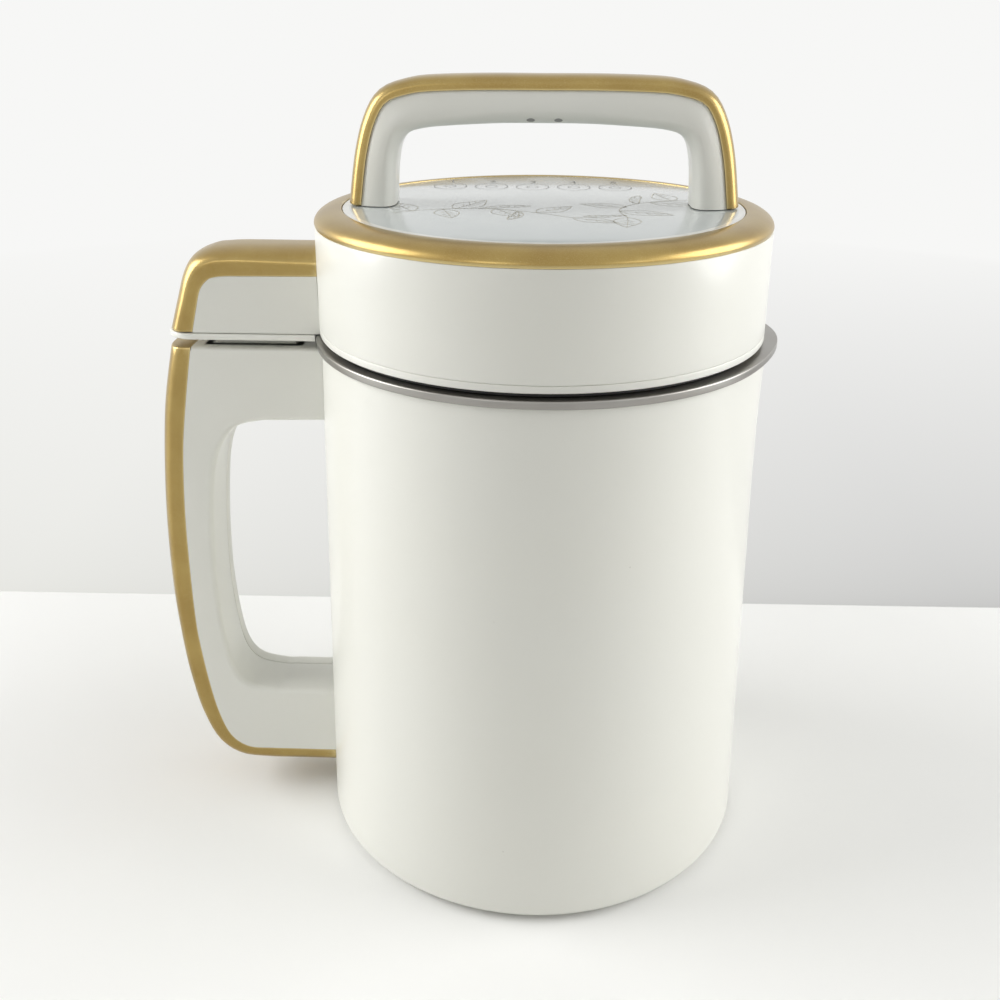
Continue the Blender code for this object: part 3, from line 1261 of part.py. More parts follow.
def make_top():
    """Gold ring that rolls down from the touch panel to the drum, the panel and its control board."""
    inner = PANEL_RADIUS + CLEARANCE
    outer = DRUM_TOP_RADIUS + RING_BULGE
    base = DRUM_TOP_Z + CLEARANCE
    crest = PANEL_TOP_Z + RING_PROUD
    shoulder = inner + RING_SHOULDER
    foot = base + RING_FOOT
    profile = [(inner, base), (inner, crest - RING_SHOULDER / 2), (inner + RING_SHOULDER / 4, crest)]
    for x, y in arc((0, 0), 1.0, 90, 0, 7):
        profile.append((shoulder + x * (outer - shoulder), foot + y * (crest - foot)))
    profile.append((DRUM_TOP_RADIUS, base))
    turned("gold_ring", profile, "gold_paint", LARGE_STEPS)

    edge = PANEL_THICKNESS / 4
    panel = turned(
        "touch_panel",
        [
            (0, PANEL_TOP_Z), (PANEL_RADIUS - edge, PANEL_TOP_Z), (PANEL_RADIUS, PANEL_TOP_Z - edge),
            (PANEL_RADIUS, PANEL_BASE_Z), (0, PANEL_BASE_Z),
        ],
        "panel_print", LARGE_STEPS,
    )
    for number, side in enumerate((-1, 1), start=1):
        hole = rod(
            f"panel_hole_{number}", STUD_RADIUS + CLEARANCE, PANEL_BASE_Z - CUT_OVERRUN,
            PANEL_TOP_Z + CUT_OVERRUN, None, side * STUD_REACH
        )
        cut(panel, hole)

    board_top = PANEL_BASE_Z - CLEARANCE
    board_low = board_top - BOARD_THICKNESS
    board = turned(
        "control_board",
        [(0, board_top), (TOUCH_BOARD_RADIUS, board_top), (TOUCH_BOARD_RADIUS, board_low), (0, board_low)],
        "board_green", MEDIUM_STEPS,
    )
    chip = box(
        "control_chip", (-TOUCH_CHIP / 2, -TOUCH_BOARD_RADIUS / 2, board_low - TOUCH_CHIP_RISE),
        (TOUCH_CHIP / 2, TOUCH_CHIP - TOUCH_BOARD_RADIUS / 2, board_top - BOARD_THICKNESS / 2), None
    )
    join(board, chip)


def make_carry_handle():
    """Arch on the panel: a white grip under a gold cap, two studs down through the deck."""
    half_outer = smooth_curve(scaled(CARRY_OUTER_SHARES, CARRY_HALF_SPAN, CARRY_HEIGHT, CARRY_BASE_Z), 2)
    half_inner = smooth_curve(
        scaled(CARRY_INNER_SHARES, CARRY_INNER_HALF_SPAN, CARRY_CLEAR_HEIGHT, CARRY_BASE_Z), 2
    )
    outer = half_outer + [(-x, z) for x, z in half_outer[-2::-1]]
    inner = half_inner + [(-x, z) for x, z in half_inner[-2::-1]]

    def on_panel(run):
        return level_end(level_end(run, 0, CARRY_BASE_Z), -1, CARRY_BASE_Z)

    seam = on_panel(offset_run(outer, CARRY_CAP_THICKNESS))
    under = on_panel(offset_run(outer, CARRY_CAP_THICKNESS + CLEARANCE))

    def cap_outline(inset):
        return on_panel(offset_run(outer, inset)) + seam[::-1]

    def grip_outline(inset):
        return under + on_panel(offset_run(inner, -inset))[::-1]

    loft(
        "carry_cap",
        rounded_sections(CARRY_CAP_HALF_DEPTH, CARRY_CAP_SIDE, CARRY_CAP_CROWN, 2, cap_outline), "gold_paint"
    )
    grip = loft(
        "carry_grip",
        rounded_sections(CARRY_GRIP_HALF_DEPTH, CARRY_GRIP_SIDE, CARRY_GRIP_CROWN, 2, grip_outline),
        "white_gloss"
    )
    for number, side in enumerate((-1, 1), start=1):
        stud = rod(
            f"grip_stud_{number}", STUD_RADIUS, CARRY_BASE_Z - STUD_LENGTH, CARRY_BASE_Z + STUD_RADIUS, None,
            side * STUD_REACH
        )
        join(grip, stud)
    screw_low = CARRY_BASE_Z + CARRY_CLEAR_HEIGHT + CLEARANCE
    for number, side in enumerate((-1, 1), start=1):
        x = side * GRIP_SCREW_SPACING / 2
        hole = rod(
            f"grip_hole_{number}", GRIP_SCREW_RADIUS + CLEARANCE, screw_low - CUT_OVERRUN,
            screw_low + GRIP_SCREW_LENGTH + CLEARANCE, None, x
        )
        cut(grip, hole)
        screw_high = screw_low + GRIP_SCREW_LENGTH
        rod(f"grip_screw_{number}", GRIP_SCREW_RADIUS, screw_low, screw_high, "core_steel", x)


def make_bracket(name, seat_low, reach, posts):
    """Motor bracket: a bridge along Y with a bearing seat in its middle, and posts to what carries it."""
    high = seat_low + BRACKET_THICKNESS
    middle = seat_low + BRACKET_THICKNESS / 2
    half = BRACKET_ARM / 2
    outline = arc((0, reach - half), half, 0, 180, 6) + arc((0, half - reach), half, 180, 360, 6)
    bracket = plan_solid(name, outline, seat_low, high, "aluminium")
    seat = rod(f"{name}_seat", BEARING_RADIUS + BEARING_SEAT_WALL, middle, seat_low + BEARING_HEIGHT, None)
    join(bracket, seat)
    for number, (radius, foot) in enumerate(posts):
        for side in (-1, 1):
            post = rod(
                f"{name}_post_{number}_{side}", BRACKET_POST_RADIUS, min(foot, middle), max(foot, middle),
                None, 0.0, side * radius, TINY_STEPS
            )
            join(bracket, post)
    bore = rod(
        f"{name}_bore", BEARING_RADIUS + CLEARANCE, seat_low - CUT_OVERRUN,
        seat_low + BEARING_HEIGHT + CUT_OVERRUN, None, steps=MEDIUM_STEPS
    )
    cut(bracket, bore)


def make_bearing(name, low):
    """A plain ball-bearing ring round the shaft."""
    bore = SHAFT_RADIUS + CLEARANCE
    turned(
        name,
        [
            (bore, low + BEARING_HEIGHT), (BEARING_RADIUS, low + BEARING_HEIGHT), (BEARING_RADIUS, low),
            (bore, low),
        ],
        "brushed_steel", MEDIUM_STEPS,
    )


def make_motor():
    """The fixed half of the motor, which hangs in the well of the head."""
    stator = turned(
        "stator",
        [
            (STATOR_BORE, STATOR_TOP), (STATOR_RADIUS, STATOR_TOP), (STATOR_RADIUS, STATOR_BOTTOM),
            (STATOR_BORE, STATOR_BOTTOM),
        ],
        "core_steel", MEDIUM_STEPS,
    )
    coil_outer = STATOR_BORE + COIL_WIDTH
    for number, middle in enumerate((0, 180), start=1):
        outline = arc((0, 0), coil_outer, middle - COIL_HALF_ANGLE, middle + COIL_HALF_ANGLE, 8)
        outline += arc(
            (0, 0), STATOR_BORE + RUNNING_GAP, middle + COIL_HALF_ANGLE, middle - COIL_HALF_ANGLE, 8
        )
        coil = plan_solid(f"coil_{number}", outline, STATOR_BOTTOM - COIL_RISE, STATOR_TOP + COIL_RISE, None)
        join(stator, coil)
    pillar_radius = STATOR_RADIUS - BRACKET_POST_RADIUS
    well_radius = MOTOR_WELL_RADIUS + BRACKET_POST_RADIUS + CLEARANCE
    make_bracket(
        "upper_bracket", UPPER_BEARING_BOTTOM, well_radius + BRACKET_POST_RADIUS,
        [(pillar_radius, STATOR_TOP + CLEARANCE), (well_radius, FLANGE_TOP_Z + CLEARANCE)],
    )
    make_bracket(
        "lower_bracket", LOWER_BEARING_BOTTOM, STATOR_RADIUS, [(pillar_radius, STATOR_BOTTOM - CLEARANCE)]
    )
    make_bearing("lower_bearing", LOWER_BEARING_BOTTOM)
    make_bearing("upper_bearing", UPPER_BEARING_BOTTOM)
    brush_z = COMMUTATOR_BOTTOM + COMMUTATOR_HEIGHT / 2
    inner = COMMUTATOR_RADIUS + RUNNING_GAP
    outer = pillar_radius - BRACKET_POST_RADIUS - CLEARANCE
    for number, side in enumerate((-1, 1), start=1):
        low = (-BRUSH_WIDTH / 2, min(side * inner, side * outer), brush_z - BRUSH_HEIGHT / 2)
        high = (BRUSH_WIDTH / 2, max(side * inner, side * outer), brush_z + BRUSH_HEIGHT / 2)
        box(f"brush_holder_{number}", low, high, "brass")


def make_power_board():
    """Power board beside the motor on two posts, with its relay; the transformer stands on it."""
    low = FLANGE_TOP_Z + BOARD_POST_HEIGHT + CLEARANCE
    top = low + BOARD_THICKNESS
    half = POWER_BOARD_HALF_DEPTH
    outline = [(POWER_BOARD_INNER, half), (POWER_BOARD_INNER, -half)]
    start = math.degrees(math.asin(half / POWER_BOARD_OUTER))
    outline += arc((0, 0), POWER_BOARD_OUTER, -start, start, 8)
    board = plan_solid("power_board", outline, low, top, "board_green")
    middle = (POWER_BOARD_INNER + POWER_BOARD_OUTER) / 2
    relay_y = -half + RELAY_SIZE / 2
    relay = box(
        "relay", (POWER_BOARD_INNER + CLEARANCE, relay_y, top - BOARD_THICKNESS / 2),
        (POWER_BOARD_INNER + CLEARANCE + RELAY_SIZE, relay_y + RELAY_SIZE, top + RELAY_HEIGHT), None
    )
    join(board, relay)
    box(
        "transformer",
        (middle - TRANSFORMER_LENGTH / 2, -TRANSFORMER_WIDTH / 2 + RELAY_SIZE / 2, top + CLEARANCE),
        (middle + TRANSFORMER_LENGTH / 2, TRANSFORMER_WIDTH / 2 + RELAY_SIZE / 2,
         top + CLEARANCE + TRANSFORMER_HEIGHT),
        "core_steel", TRANSFORMER_EDGE,
    )


def make_lower_cover():
    """Steel can round the motor, the tube round the shaft, its seal, the probe and the electrode."""
    wall = COVER_CAN_WALL
    outer = COVER_CAN_RADIUS
    top = FLANGE_BASE_Z - MOTOR_WELL_DEPTH - CLEARANCE
    bore = SHAFT_TUBE_RADIUS + CLEARANCE
    nose = COVER_CAN_NOSE_RADIUS
    flange = MOTOR_WELL_RADIUS + MOTOR_WELL_WALL
    profile = [
        (outer - wall, top), (flange, top), (flange, top - wall), (outer, top - wall),
        (outer, COVER_CAN_SHOULDER), (nose, COVER_CAN_BOTTOM), (bore, COVER_CAN_BOTTOM),
        (bore, COVER_CAN_BOTTOM + wall), (nose - wall / 2, COVER_CAN_BOTTOM + wall),
        (outer - wall, COVER_CAN_SHOULDER + wall / 2),
    ]
    turned("lower_cover", profile, "brushed_steel", INNER_STEPS)
    tube_top = COVER_CAN_BOTTOM + wall + CLEARANCE + SHAFT_TUBE_WALL
    inner = SHAFT_TUBE_RADIUS - SHAFT_TUBE_WALL
    turned(
        "shaft_tube",
        [
            (inner, tube_top), (SHAFT_TUBE_FLANGE_RADIUS, tube_top),
            (SHAFT_TUBE_FLANGE_RADIUS, tube_top - SHAFT_TUBE_WALL),
            (SHAFT_TUBE_RADIUS, tube_top - SHAFT_TUBE_WALL),
            (SHAFT_TUBE_RADIUS, SHAFT_TUBE_BOTTOM), (inner, SHAFT_TUBE_BOTTOM),
        ],
        "brushed_steel", MEDIUM_STEPS,
    )
    seal_outer = inner - CLEARANCE
    seal_bore = SHAFT_RADIUS + RUNNING_GAP
    seal_top = SHAFT_TUBE_BOTTOM + SEAL_LIP_LENGTH
    turned(
        "shaft_seal",
        [
            (seal_bore, seal_top), (seal_outer, seal_top), (seal_outer, SHAFT_TUBE_BOTTOM - CLEARANCE),
            (SHAFT_TUBE_RADIUS, SHAFT_TUBE_BOTTOM - CLEARANCE),
            (SHAFT_TUBE_RADIUS - SHAFT_TUBE_WALL, SHAFT_TUBE_BOTTOM - CLEARANCE - SHAFT_TUBE_WALL),
            (seal_bore, SHAFT_TUBE_BOTTOM - CLEARANCE - SHAFT_TUBE_WALL),
        ],
        "dark_rubber", MEDIUM_STEPS,
    )
    for name, radius, low, side in (
        ("temperature_probe", PROBE_RADIUS, PROBE_BOTTOM, 1),
        ("overflow_electrode", ELECTRODE_RADIUS, ELECTRODE_BOTTOM, -1),
    ):
        head_low = FLANGE_TOP_Z + CLEARANCE
        profile = [
            (0, head_low + ROD_HEAD_HEIGHT), (ROD_HEAD_RADIUS, head_low + ROD_HEAD_HEIGHT),
            (ROD_HEAD_RADIUS, head_low),
            (radius, head_low), (radius, low + radius), (radius * ROD_TIP_SHARE, low), (0, low),
        ]
        turned(name, profile, "brushed_steel", SMALL_STEPS, location=(0, side * PROBE_CIRCLE_RADIUS, 0))


def make_blade(low):
    """Four-armed grinding blade with bent, tapered arms, on a bored hub."""
    bore = SHAFT_RADIUS - SHAFT_STEP + CLEARANCE
    hub = turned(
        "blade",
        [
            (bore, low + BLADE_THICKNESS), (BLADE_HUB_RADIUS, low + BLADE_THICKNESS), (BLADE_HUB_RADIUS, low),
            (bore, low),
        ],
        "brushed_steel", SMALL_STEPS,
    )
    root = BLADE_HUB_RADIUS - BLADE_THICKNESS
    bend = BLADE_RADIUS * BLADE_BEND_SHARE
    for number in range(4):
        lift = BLADE_LIFT if number % 2 == 0 else -BLADE_LIFT / 2
        side = [
            (root, low), (bend, low), (BLADE_RADIUS, low + lift),
            (BLADE_RADIUS, low + lift + BLADE_THICKNESS), (bend, low + BLADE_THICKNESS),
            (root, low + BLADE_THICKNESS),
        ]
        arm = side_solid(f"blade_arm_{number}", side, -BLADE_WIDTH / 2, BLADE_WIDTH / 2, None)
        shape = bmesh.new()
        shape.from_mesh(arm.data)
        for vert in shape.verts:
            if vert.co.x > bend + MERGE and vert.co.y > 0:
                vert.co.y *= -BLADE_TIP_SHARE
        shape.to_mesh(arm.data)
        shape.free()
        arm.rotation_euler = (0, 0, number * math.pi / 2)
        join(hub, arm)


def make_rotor():
    """Everything that turns with the shaft; the empties' origin is on the shaft's axis."""
    thread_radius = SHAFT_RADIUS - SHAFT_STEP
    top = UPPER_BEARING_BOTTOM + BEARING_HEIGHT + CLEARANCE + FAN_HEIGHT
    blade_low = BLADE_HEIGHT
    shoulder = blade_low + BLADE_THICKNESS + CLEARANCE
    turned(
        "shaft",
        [
            (0, top), (SHAFT_RADIUS, top), (SHAFT_RADIUS, shoulder), (thread_radius, shoulder),
            (thread_radius, SHAFT_BOTTOM), (0, SHAFT_BOTTOM),
        ],
        "brushed_steel", SMALL_STEPS,
    )
    bore = SHAFT_RADIUS + CLEARANCE
    core_radius = STATOR_BORE - ARMATURE_GAP
    core = turned(
        "armature",
        [(bore, STATOR_TOP), (core_radius, STATOR_TOP), (core_radius, STATOR_BOTTOM), (bore, STATOR_BOTTOM)],
        "core_steel", MEDIUM_STEPS,
    )
    slot_depth = (core_radius - bore) * ARMATURE_SLOT_SHARE
    for number in range(ARMATURE_SLOTS):
        slot = box(
            f"armature_slot_{number}",
            (core_radius - slot_depth, -ARMATURE_SLOT_WIDTH / 2, STATOR_BOTTOM - CUT_OVERRUN),
            (core_radius + CUT_OVERRUN, ARMATURE_SLOT_WIDTH / 2, STATOR_TOP + CUT_OVERRUN), None
        )
        slot.rotation_euler = (0, 0, 2 * math.pi * number / ARMATURE_SLOTS)
        cut(core, slot)
    commutator_top = COMMUTATOR_BOTTOM + COMMUTATOR_HEIGHT
    turned(
        "commutator",
        [
            (bore, commutator_top), (COMMUTATOR_RADIUS, commutator_top),
            (COMMUTATOR_RADIUS, COMMUTATOR_BOTTOM), (bore, COMMUTATOR_BOTTOM),
        ],
        "brass", MEDIUM_STEPS,
    )
    fan_low = UPPER_BEARING_BOTTOM + BEARING_HEIGHT + RUNNING_GAP
    fan = turned(
        "cooling_fan",
        [
            (bore, fan_low + FAN_HEIGHT), (FAN_HUB_RADIUS, fan_low + FAN_HEIGHT),
            (FAN_HUB_RADIUS, fan_low + FAN_DISC), (FAN_RADIUS, fan_low + FAN_DISC), (FAN_RADIUS, fan_low),
            (bore, fan_low),
        ],
        "black_plastic", MEDIUM_STEPS,
    )
    for number in range(FAN_BLADES):
        vane = box(
            f"fan_vane_{number}",
            (FAN_HUB_RADIUS - FAN_BLADE_WIDTH, -FAN_BLADE_WIDTH / 2, fan_low + FAN_DISC / 2),
            (FAN_RADIUS - FAN_BLADE_WIDTH, FAN_BLADE_WIDTH / 2, fan_low + FAN_HEIGHT - FAN_DISC), None
        )
        vane.rotation_euler = (0, 0, 2 * math.pi * number / FAN_BLADES)
        join(fan, vane)
    make_blade(blade_low)
    nut_top = blade_low - CLEARANCE
    nut = rod("blade_nut", NUT_RADIUS, nut_top - NUT_HEIGHT, nut_top, "brass", steps=6)
    nut_bore = rod(
        "nut_bore", thread_radius + CLEARANCE, nut_top - NUT_HEIGHT - CUT_OVERRUN, nut_top + CUT_OVERRUN, None
    )
    cut(nut, nut_bore)


def build():
    """The jug, the head that lifts off it, and the rotor that turns in the head."""
    global shop
    clear_scene()
    shop = Workshop()
    shop.jug = make_empty("jug_axis", (AXIS_X, 0, 0))
    shop.head = make_empty("head_axis", (0, 0, 0), shop.jug)
    shop.rotor = make_empty("rotor_axis", (0, 0, 0), shop.head)

    shop.carrier = shop.jug
    make_outer_shell()
    make_inner_cup()
    make_base()
    make_heater()
    make_handle()
    make_coupler()

    shop.carrier = shop.head
    make_head_base()
    make_head_shell()
    make_inlet()
    make_top()
    make_carry_handle()
    make_motor()
    make_power_board()
    make_lower_cover()

    shop.carrier = shop.rotor
    make_rotor()


build()
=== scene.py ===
# %% [markdown]
# # A soy milk maker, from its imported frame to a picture
# The frame holds the right sizes and the inner workings, but its round parts have few sides.
# This lesson keeps the inside as it is, rebuilds the outside with close steps, and gives every
# part a finish made from nodes. Loading comes first, because each new piece is set against it.

import math

import bmesh
import bpy
from mathutils import Matrix, Vector


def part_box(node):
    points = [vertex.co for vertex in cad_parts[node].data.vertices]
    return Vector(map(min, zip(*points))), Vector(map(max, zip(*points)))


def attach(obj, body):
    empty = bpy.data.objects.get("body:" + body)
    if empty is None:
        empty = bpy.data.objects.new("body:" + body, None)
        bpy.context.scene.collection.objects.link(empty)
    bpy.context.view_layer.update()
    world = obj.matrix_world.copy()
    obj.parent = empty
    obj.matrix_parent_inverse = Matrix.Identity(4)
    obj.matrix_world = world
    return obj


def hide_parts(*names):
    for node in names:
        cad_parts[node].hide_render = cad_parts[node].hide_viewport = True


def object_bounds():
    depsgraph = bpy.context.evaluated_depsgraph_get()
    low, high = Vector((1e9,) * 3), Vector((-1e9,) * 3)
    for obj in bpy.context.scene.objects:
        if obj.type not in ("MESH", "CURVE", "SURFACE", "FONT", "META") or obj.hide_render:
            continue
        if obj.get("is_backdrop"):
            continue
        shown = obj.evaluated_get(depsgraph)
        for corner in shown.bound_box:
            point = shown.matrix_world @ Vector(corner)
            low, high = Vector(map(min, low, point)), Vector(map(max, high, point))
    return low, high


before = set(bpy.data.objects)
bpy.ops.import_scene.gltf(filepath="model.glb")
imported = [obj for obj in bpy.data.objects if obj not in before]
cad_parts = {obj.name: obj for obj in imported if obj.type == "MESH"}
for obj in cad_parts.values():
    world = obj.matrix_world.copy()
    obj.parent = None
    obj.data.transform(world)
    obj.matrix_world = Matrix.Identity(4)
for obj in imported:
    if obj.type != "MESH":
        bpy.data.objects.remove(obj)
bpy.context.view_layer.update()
add_to_scene = bpy.context.scene.collection.objects.link


def middle_of(box):
    """The middle of a box in plan."""
    return (box[0][0] + box[1][0]) / 2, (box[0][1] + box[1][1]) / 2


def half_width(box):
    return (box[1][0] - box[0][0]) / 2


# %% [markdown]
# ## Finishes
# A finish is a small network of nodes. Writing one by hand takes many lines, so three helpers
# come first. `Wire` is one output socket that understands + - * and powers, so a mask reads like
# a sum. `Nodes` adds any node through one method: its type, its settings, and then what goes
# into its sockets. `Finish` does so for a new material, and the world uses `Nodes` at the end.

# %% A socket that does arithmetic
class Wire:
    """An output socket. Arithmetic on it adds Math nodes to its network."""

    def __init__(self, nodes, socket):
        self.nodes = nodes
        self.socket = socket

    def __add__(self, other):
        return self.nodes.sum("ADD", self, other)

    def __sub__(self, other):
        return self.nodes.sum("SUBTRACT", self, other)

    def __rsub__(self, other):
        return self.nodes.sum("SUBTRACT", other, self)

    def __mul__(self, other):
        return self.nodes.sum("MULTIPLY", self, other)

    def __pow__(self, other):
        return self.nodes.sum("POWER", self, other)


print("wires are ready")

# %% A network, and a material with one
class Nodes:
    """A node network, with one method that adds nodes and a few that add common ones."""

    def __init__(self, tree):
        self.tree = tree

    def plug(self, socket, value):
        """Link a wire into a socket, or write a value on it. A colour may be three numbers."""
        if isinstance(value, Wire):
            self.tree.links.new(value.socket, socket)
        else:
            socket.default_value = (*value, 1) if isinstance(value, tuple) else value

    def node(self, kind, sockets=None, output=0, **settings):
        """Add a node: its settings and its sockets. Gives back one of its outputs."""
        added = self.tree.nodes.new("ShaderNode" + kind)
        for name, value in settings.items():
            setattr(added, name, value)
        for key, value in (sockets or {}).items():
            self.plug(added.inputs[key], value)
        return Wire(self, added.outputs[output])

    def sum(self, operation, *values):
        return self.node("Math", dict(enumerate(values)), operation=operation)

    def clamp(self, value, low, high):
        """Where a value runs from low to high, give 0 to 1, and no less or more."""
        return self.node("MapRange", {"Value": value, "From Min": low, "From Max": high})

    def mix(self, factor, first, second):
        """A colour between two colours."""
        return self.node("Mix", {0: factor, 6: first, 7: second}, 2, data_type="RGBA")

    def own_place(self):
        """The object's own coordinates."""
        return self.node("TexCoord", output="Object")

    def split(self, vector):
        """The three parts of a vector."""
        parts = self.node("SeparateXYZ", {"Vector": vector}).socket.node
        return [Wire(self, parts.outputs[name]) for name in "XYZ"]


finishes = {}


class Finish(Nodes):
    """A material being made, with its shader. It is kept in finishes under its name."""

    def __init__(self, name, **constants):
        finishes[name] = self.material = bpy.data.materials.new(name)
        self.material.use_nodes = True
        super().__init__(self.material.node_tree)
        self.shader = self.tree.nodes["Principled BSDF"]
        self.output(**constants)

    def output(self, **sockets):
        for socket, value in sockets.items():
            self.plug(self.shader.inputs[socket.replace("_", " ")], value)


print("helpers for finishes are ready")

# %% [markdown]
# Noise is what keeps a surface from looking like a drawing of itself. It reads the object's own
# coordinates, which are metres in the frame's space, so a scale of 1000 gives grains of about a
# millimetre on every piece, and nothing slides when a piece moves.

# %% Noise, worn and highlighted edges, and bumps
def noise(finish, scale, detail=3.0, roughness=0.5, where=None):
    """A soft random value from 0 to 1 at a scale in grains per metre."""
    where = where or finish.own_place()
    return finish.node(
        "TexNoise", {"Vector": where, "Scale": scale, "Detail": detail, "Roughness": roughness}
    )


def specks(finish, scale, size):
    """Small separate dots: 1 inside a dot and 0 elsewhere."""
    distance = finish.node("TexVoronoi", {"Vector": finish.own_place(), "Scale": scale})
    return 1 - finish.clamp(distance, size * 0.6, size)


def edge_wear_and_highlight(finish, low=0.52, high=0.60):
    """1 along outward edges: rubbed wear on the plain finishes, and a painted highlight line on the
    gold.
    """
    return finish.clamp(finish.node("NewGeometry", output="Pointiness"), low, high)


def bumps(finish, height, distance, strength=1.0):
    """Turn a height into a surface normal, with its depth in metres."""
    return finish.node("Bump", {"Height": height, "Distance": distance, "Strength": strength})


print("noise, wear and bumps are ready")

# %% [markdown]
# The jug, the drum and the handles are moulded in one warm white plastic with a gloss. Up close
# it has a faint orange-peel skin, tiny marks, and a slightly creamier tone in places. All three
# come from noise at different scales.

# %% White moulded plastic
finish = Finish("white_gloss", Coat_Weight=0.25, Coat_Roughness=0.08)
dots = specks(finish, 95, 0.035) * finish.clamp(noise(finish, 33), 0.55, 0.62)
broad = finish.clamp(noise(finish, 14, 2), 0.2, 0.8)
tone = finish.mix(broad * 0.3, (0.80, 0.80, 0.745), (0.80, 0.785, 0.70))
finish.output(
    Base_Color=finish.mix(dots * 0.35, tone, (0.42, 0.40, 0.36)),
    Roughness=noise(finish, 30, 2) * 0.06 + 0.29,
    Normal=bumps(finish, noise(finish, 900, 2), 0.00002, 0.35),
)
print("white plastic:", len(finish.tree.nodes), "nodes")

# %% [markdown]
# The gold strips are plastic sprayed with a metallic paint and a clear coat. The paint holds
# fine flakes, so the metal is not a mirror: a fine grain tilts the surface a little, and the tone
# goes darker and browner in soft clouds. A lighter gold along the outward edges is a painted
# highlight line.

# %% Gold paint
finish = Finish("gold_paint", Metallic=0.9, Coat_Weight=0.2, Coat_Roughness=0.2)
flakes = noise(finish, 5200, 1)
clouds = finish.clamp(noise(finish, 60), 0.3, 0.7)
base = finish.mix(clouds, (0.40, 0.285, 0.092), (0.33, 0.222, 0.065))
sparkle = finish.mix(finish.clamp(flakes, 0.52, 0.72) * 0.4, base, (0.58, 0.46, 0.22))
finish.output(
    # Along the outward edges a lighter gold is mixed in: a painted highlight line.
    Base_Color=finish.mix(edge_wear_and_highlight(finish, 0.515, 0.57) * 0.6, sparkle, (0.72, 0.60, 0.31)),
    Roughness=flakes * 0.08 + 0.28,
    Normal=bumps(finish, flakes, 0.00002, 0.5),
)
print("gold paint:", len(finish.tree.nodes), "nodes")

# %% [markdown]
# The cup and its rim are spun steel, brushed round the axis. Brushing is noise stretched a long
# way along the brush and squeezed across it, so the coordinates are turned into angle, radius
# and height first.

# %% Brushed steel
BRUSH_STRETCH = 0.004
seal_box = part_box("seal_ring")
axis_x = middle_of(seal_box)[0]


def round_the_axis(finish):
    """A place as wires for its angle, radius and height round the jug's axis."""
    across, along, height = finish.split(finish.own_place())
    across = across - axis_x
    radius = finish.sum("SQRT", across * across + along * along)
    return finish.sum("ARCTAN2", along, across), radius, height


finish = Finish("brushed_steel", Metallic=1.0)
angle, radius, height = round_the_axis(finish)
brushing = finish.node("CombineXYZ", {"X": angle * BRUSH_STRETCH, "Y": radius, "Z": height})
lines = noise(finish, 2600, 4, 0.6, brushing)
stains = finish.clamp(noise(finish, 40), 0.35, 0.7)
base = finish.mix(stains, (0.33, 0.32, 0.30), (0.28, 0.265, 0.245))
finish.output(
    Base_Color=finish.mix(lines * 0.3, base, (0.46, 0.45, 0.43)),
    Roughness=lines * 0.12 + 0.28,
    Normal=bumps(finish, lines, 0.00003, 0.5),
)
print("brushed round the axis at x =", round(axis_x, 5))

# %% [markdown]
# The touch panel is a printed sheet under a clear gloss layer, pale blue-grey with a white
# border just inside the gold ring. The border is a mask worked out from the radius.

# %% Printed panel
BORDER_WIDTH = 0.0026
BORDER_SOFT = 0.00025
panel_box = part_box("touch_panel")
panel_radius = half_width(panel_box)
panel_base, panel_top = panel_box[0][2], panel_box[1][2]
finish = Finish("panel_print", Coat_Weight=0.3, Coat_Roughness=0.05)
inside = panel_radius - BORDER_WIDTH
border = finish.clamp(round_the_axis(finish)[1], inside, inside + BORDER_SOFT)
haze = finish.clamp(noise(finish, 24), 0.35, 0.7)
dust = specks(finish, 240, 0.03) * finish.clamp(noise(finish, 50), 0.5, 0.6)
tone = finish.mix(haze, (0.56, 0.60, 0.60), (0.60, 0.635, 0.63))
tone = finish.mix(border, tone, (0.80, 0.80, 0.76))
finish.output(
    Base_Color=finish.mix(dust * 0.3, tone, (0.75, 0.75, 0.72)),
    Roughness=finish.clamp(noise(finish, 70, 4), 0.45, 0.85) * 0.12 + 0.12,
    Normal=bumps(finish, noise(finish, 500, 2), 0.00001, 0.25),
)
print("panel radius:", round(panel_radius, 4))

# %% [markdown]
# Everything else is plain stuff with its own grain: rubber, moulded black plastic, cast
# aluminium, brass, the iron of the motor and the green of a circuit board. They differ only in
# colour, metal, roughness and the size of the grain, so one loop over a table makes them all.

# %% The other finishes
PLAIN_FINISHES = {
    # name: colour, second colour, metallic, roughness, grain per metre, depth of the grain
    "dark_rubber": ((0.016, 0.016, 0.016), (0.035, 0.034, 0.032), 0.0, 0.62, 1400, 0.00004),
    "pale_rubber": ((0.55, 0.55, 0.52), (0.46, 0.45, 0.42), 0.0, 0.66, 1200, 0.00004),
    "base_plastic": ((0.60, 0.60, 0.57), (0.54, 0.54, 0.50), 0.0, 0.42, 1500, 0.00003),
    "black_plastic": ((0.018, 0.018, 0.019), (0.034, 0.034, 0.035), 0.0, 0.38, 1600, 0.00003),
    # grey_plastic colours the insert that paints the shade in the carry handle's pockets.
    "grey_plastic": ((0.25, 0.25, 0.24), (0.31, 0.31, 0.29), 0.0, 0.46, 1500, 0.00003),
    "aluminium": ((0.68, 0.68, 0.69), (0.56, 0.56, 0.57), 1.0, 0.38, 700, 0.00005),
    "brass": ((0.70, 0.52, 0.24), (0.58, 0.41, 0.17), 1.0, 0.30, 900, 0.00002),
    "core_steel": ((0.17, 0.17, 0.18), (0.24, 0.22, 0.20), 0.9, 0.46, 1100, 0.00004),
    "ink": ((0.50, 0.47, 0.37), (0.56, 0.52, 0.42), 0.0, 0.45, 900, 0.00001),
    "key_ink": ((0.22, 0.22, 0.21), (0.30, 0.29, 0.27), 0.0, 0.45, 900, 0.00001),
    "board_green": ((0.03, 0.19, 0.085), (0.02, 0.13, 0.06), 0.0, 0.38, 800, 0.00002),
}


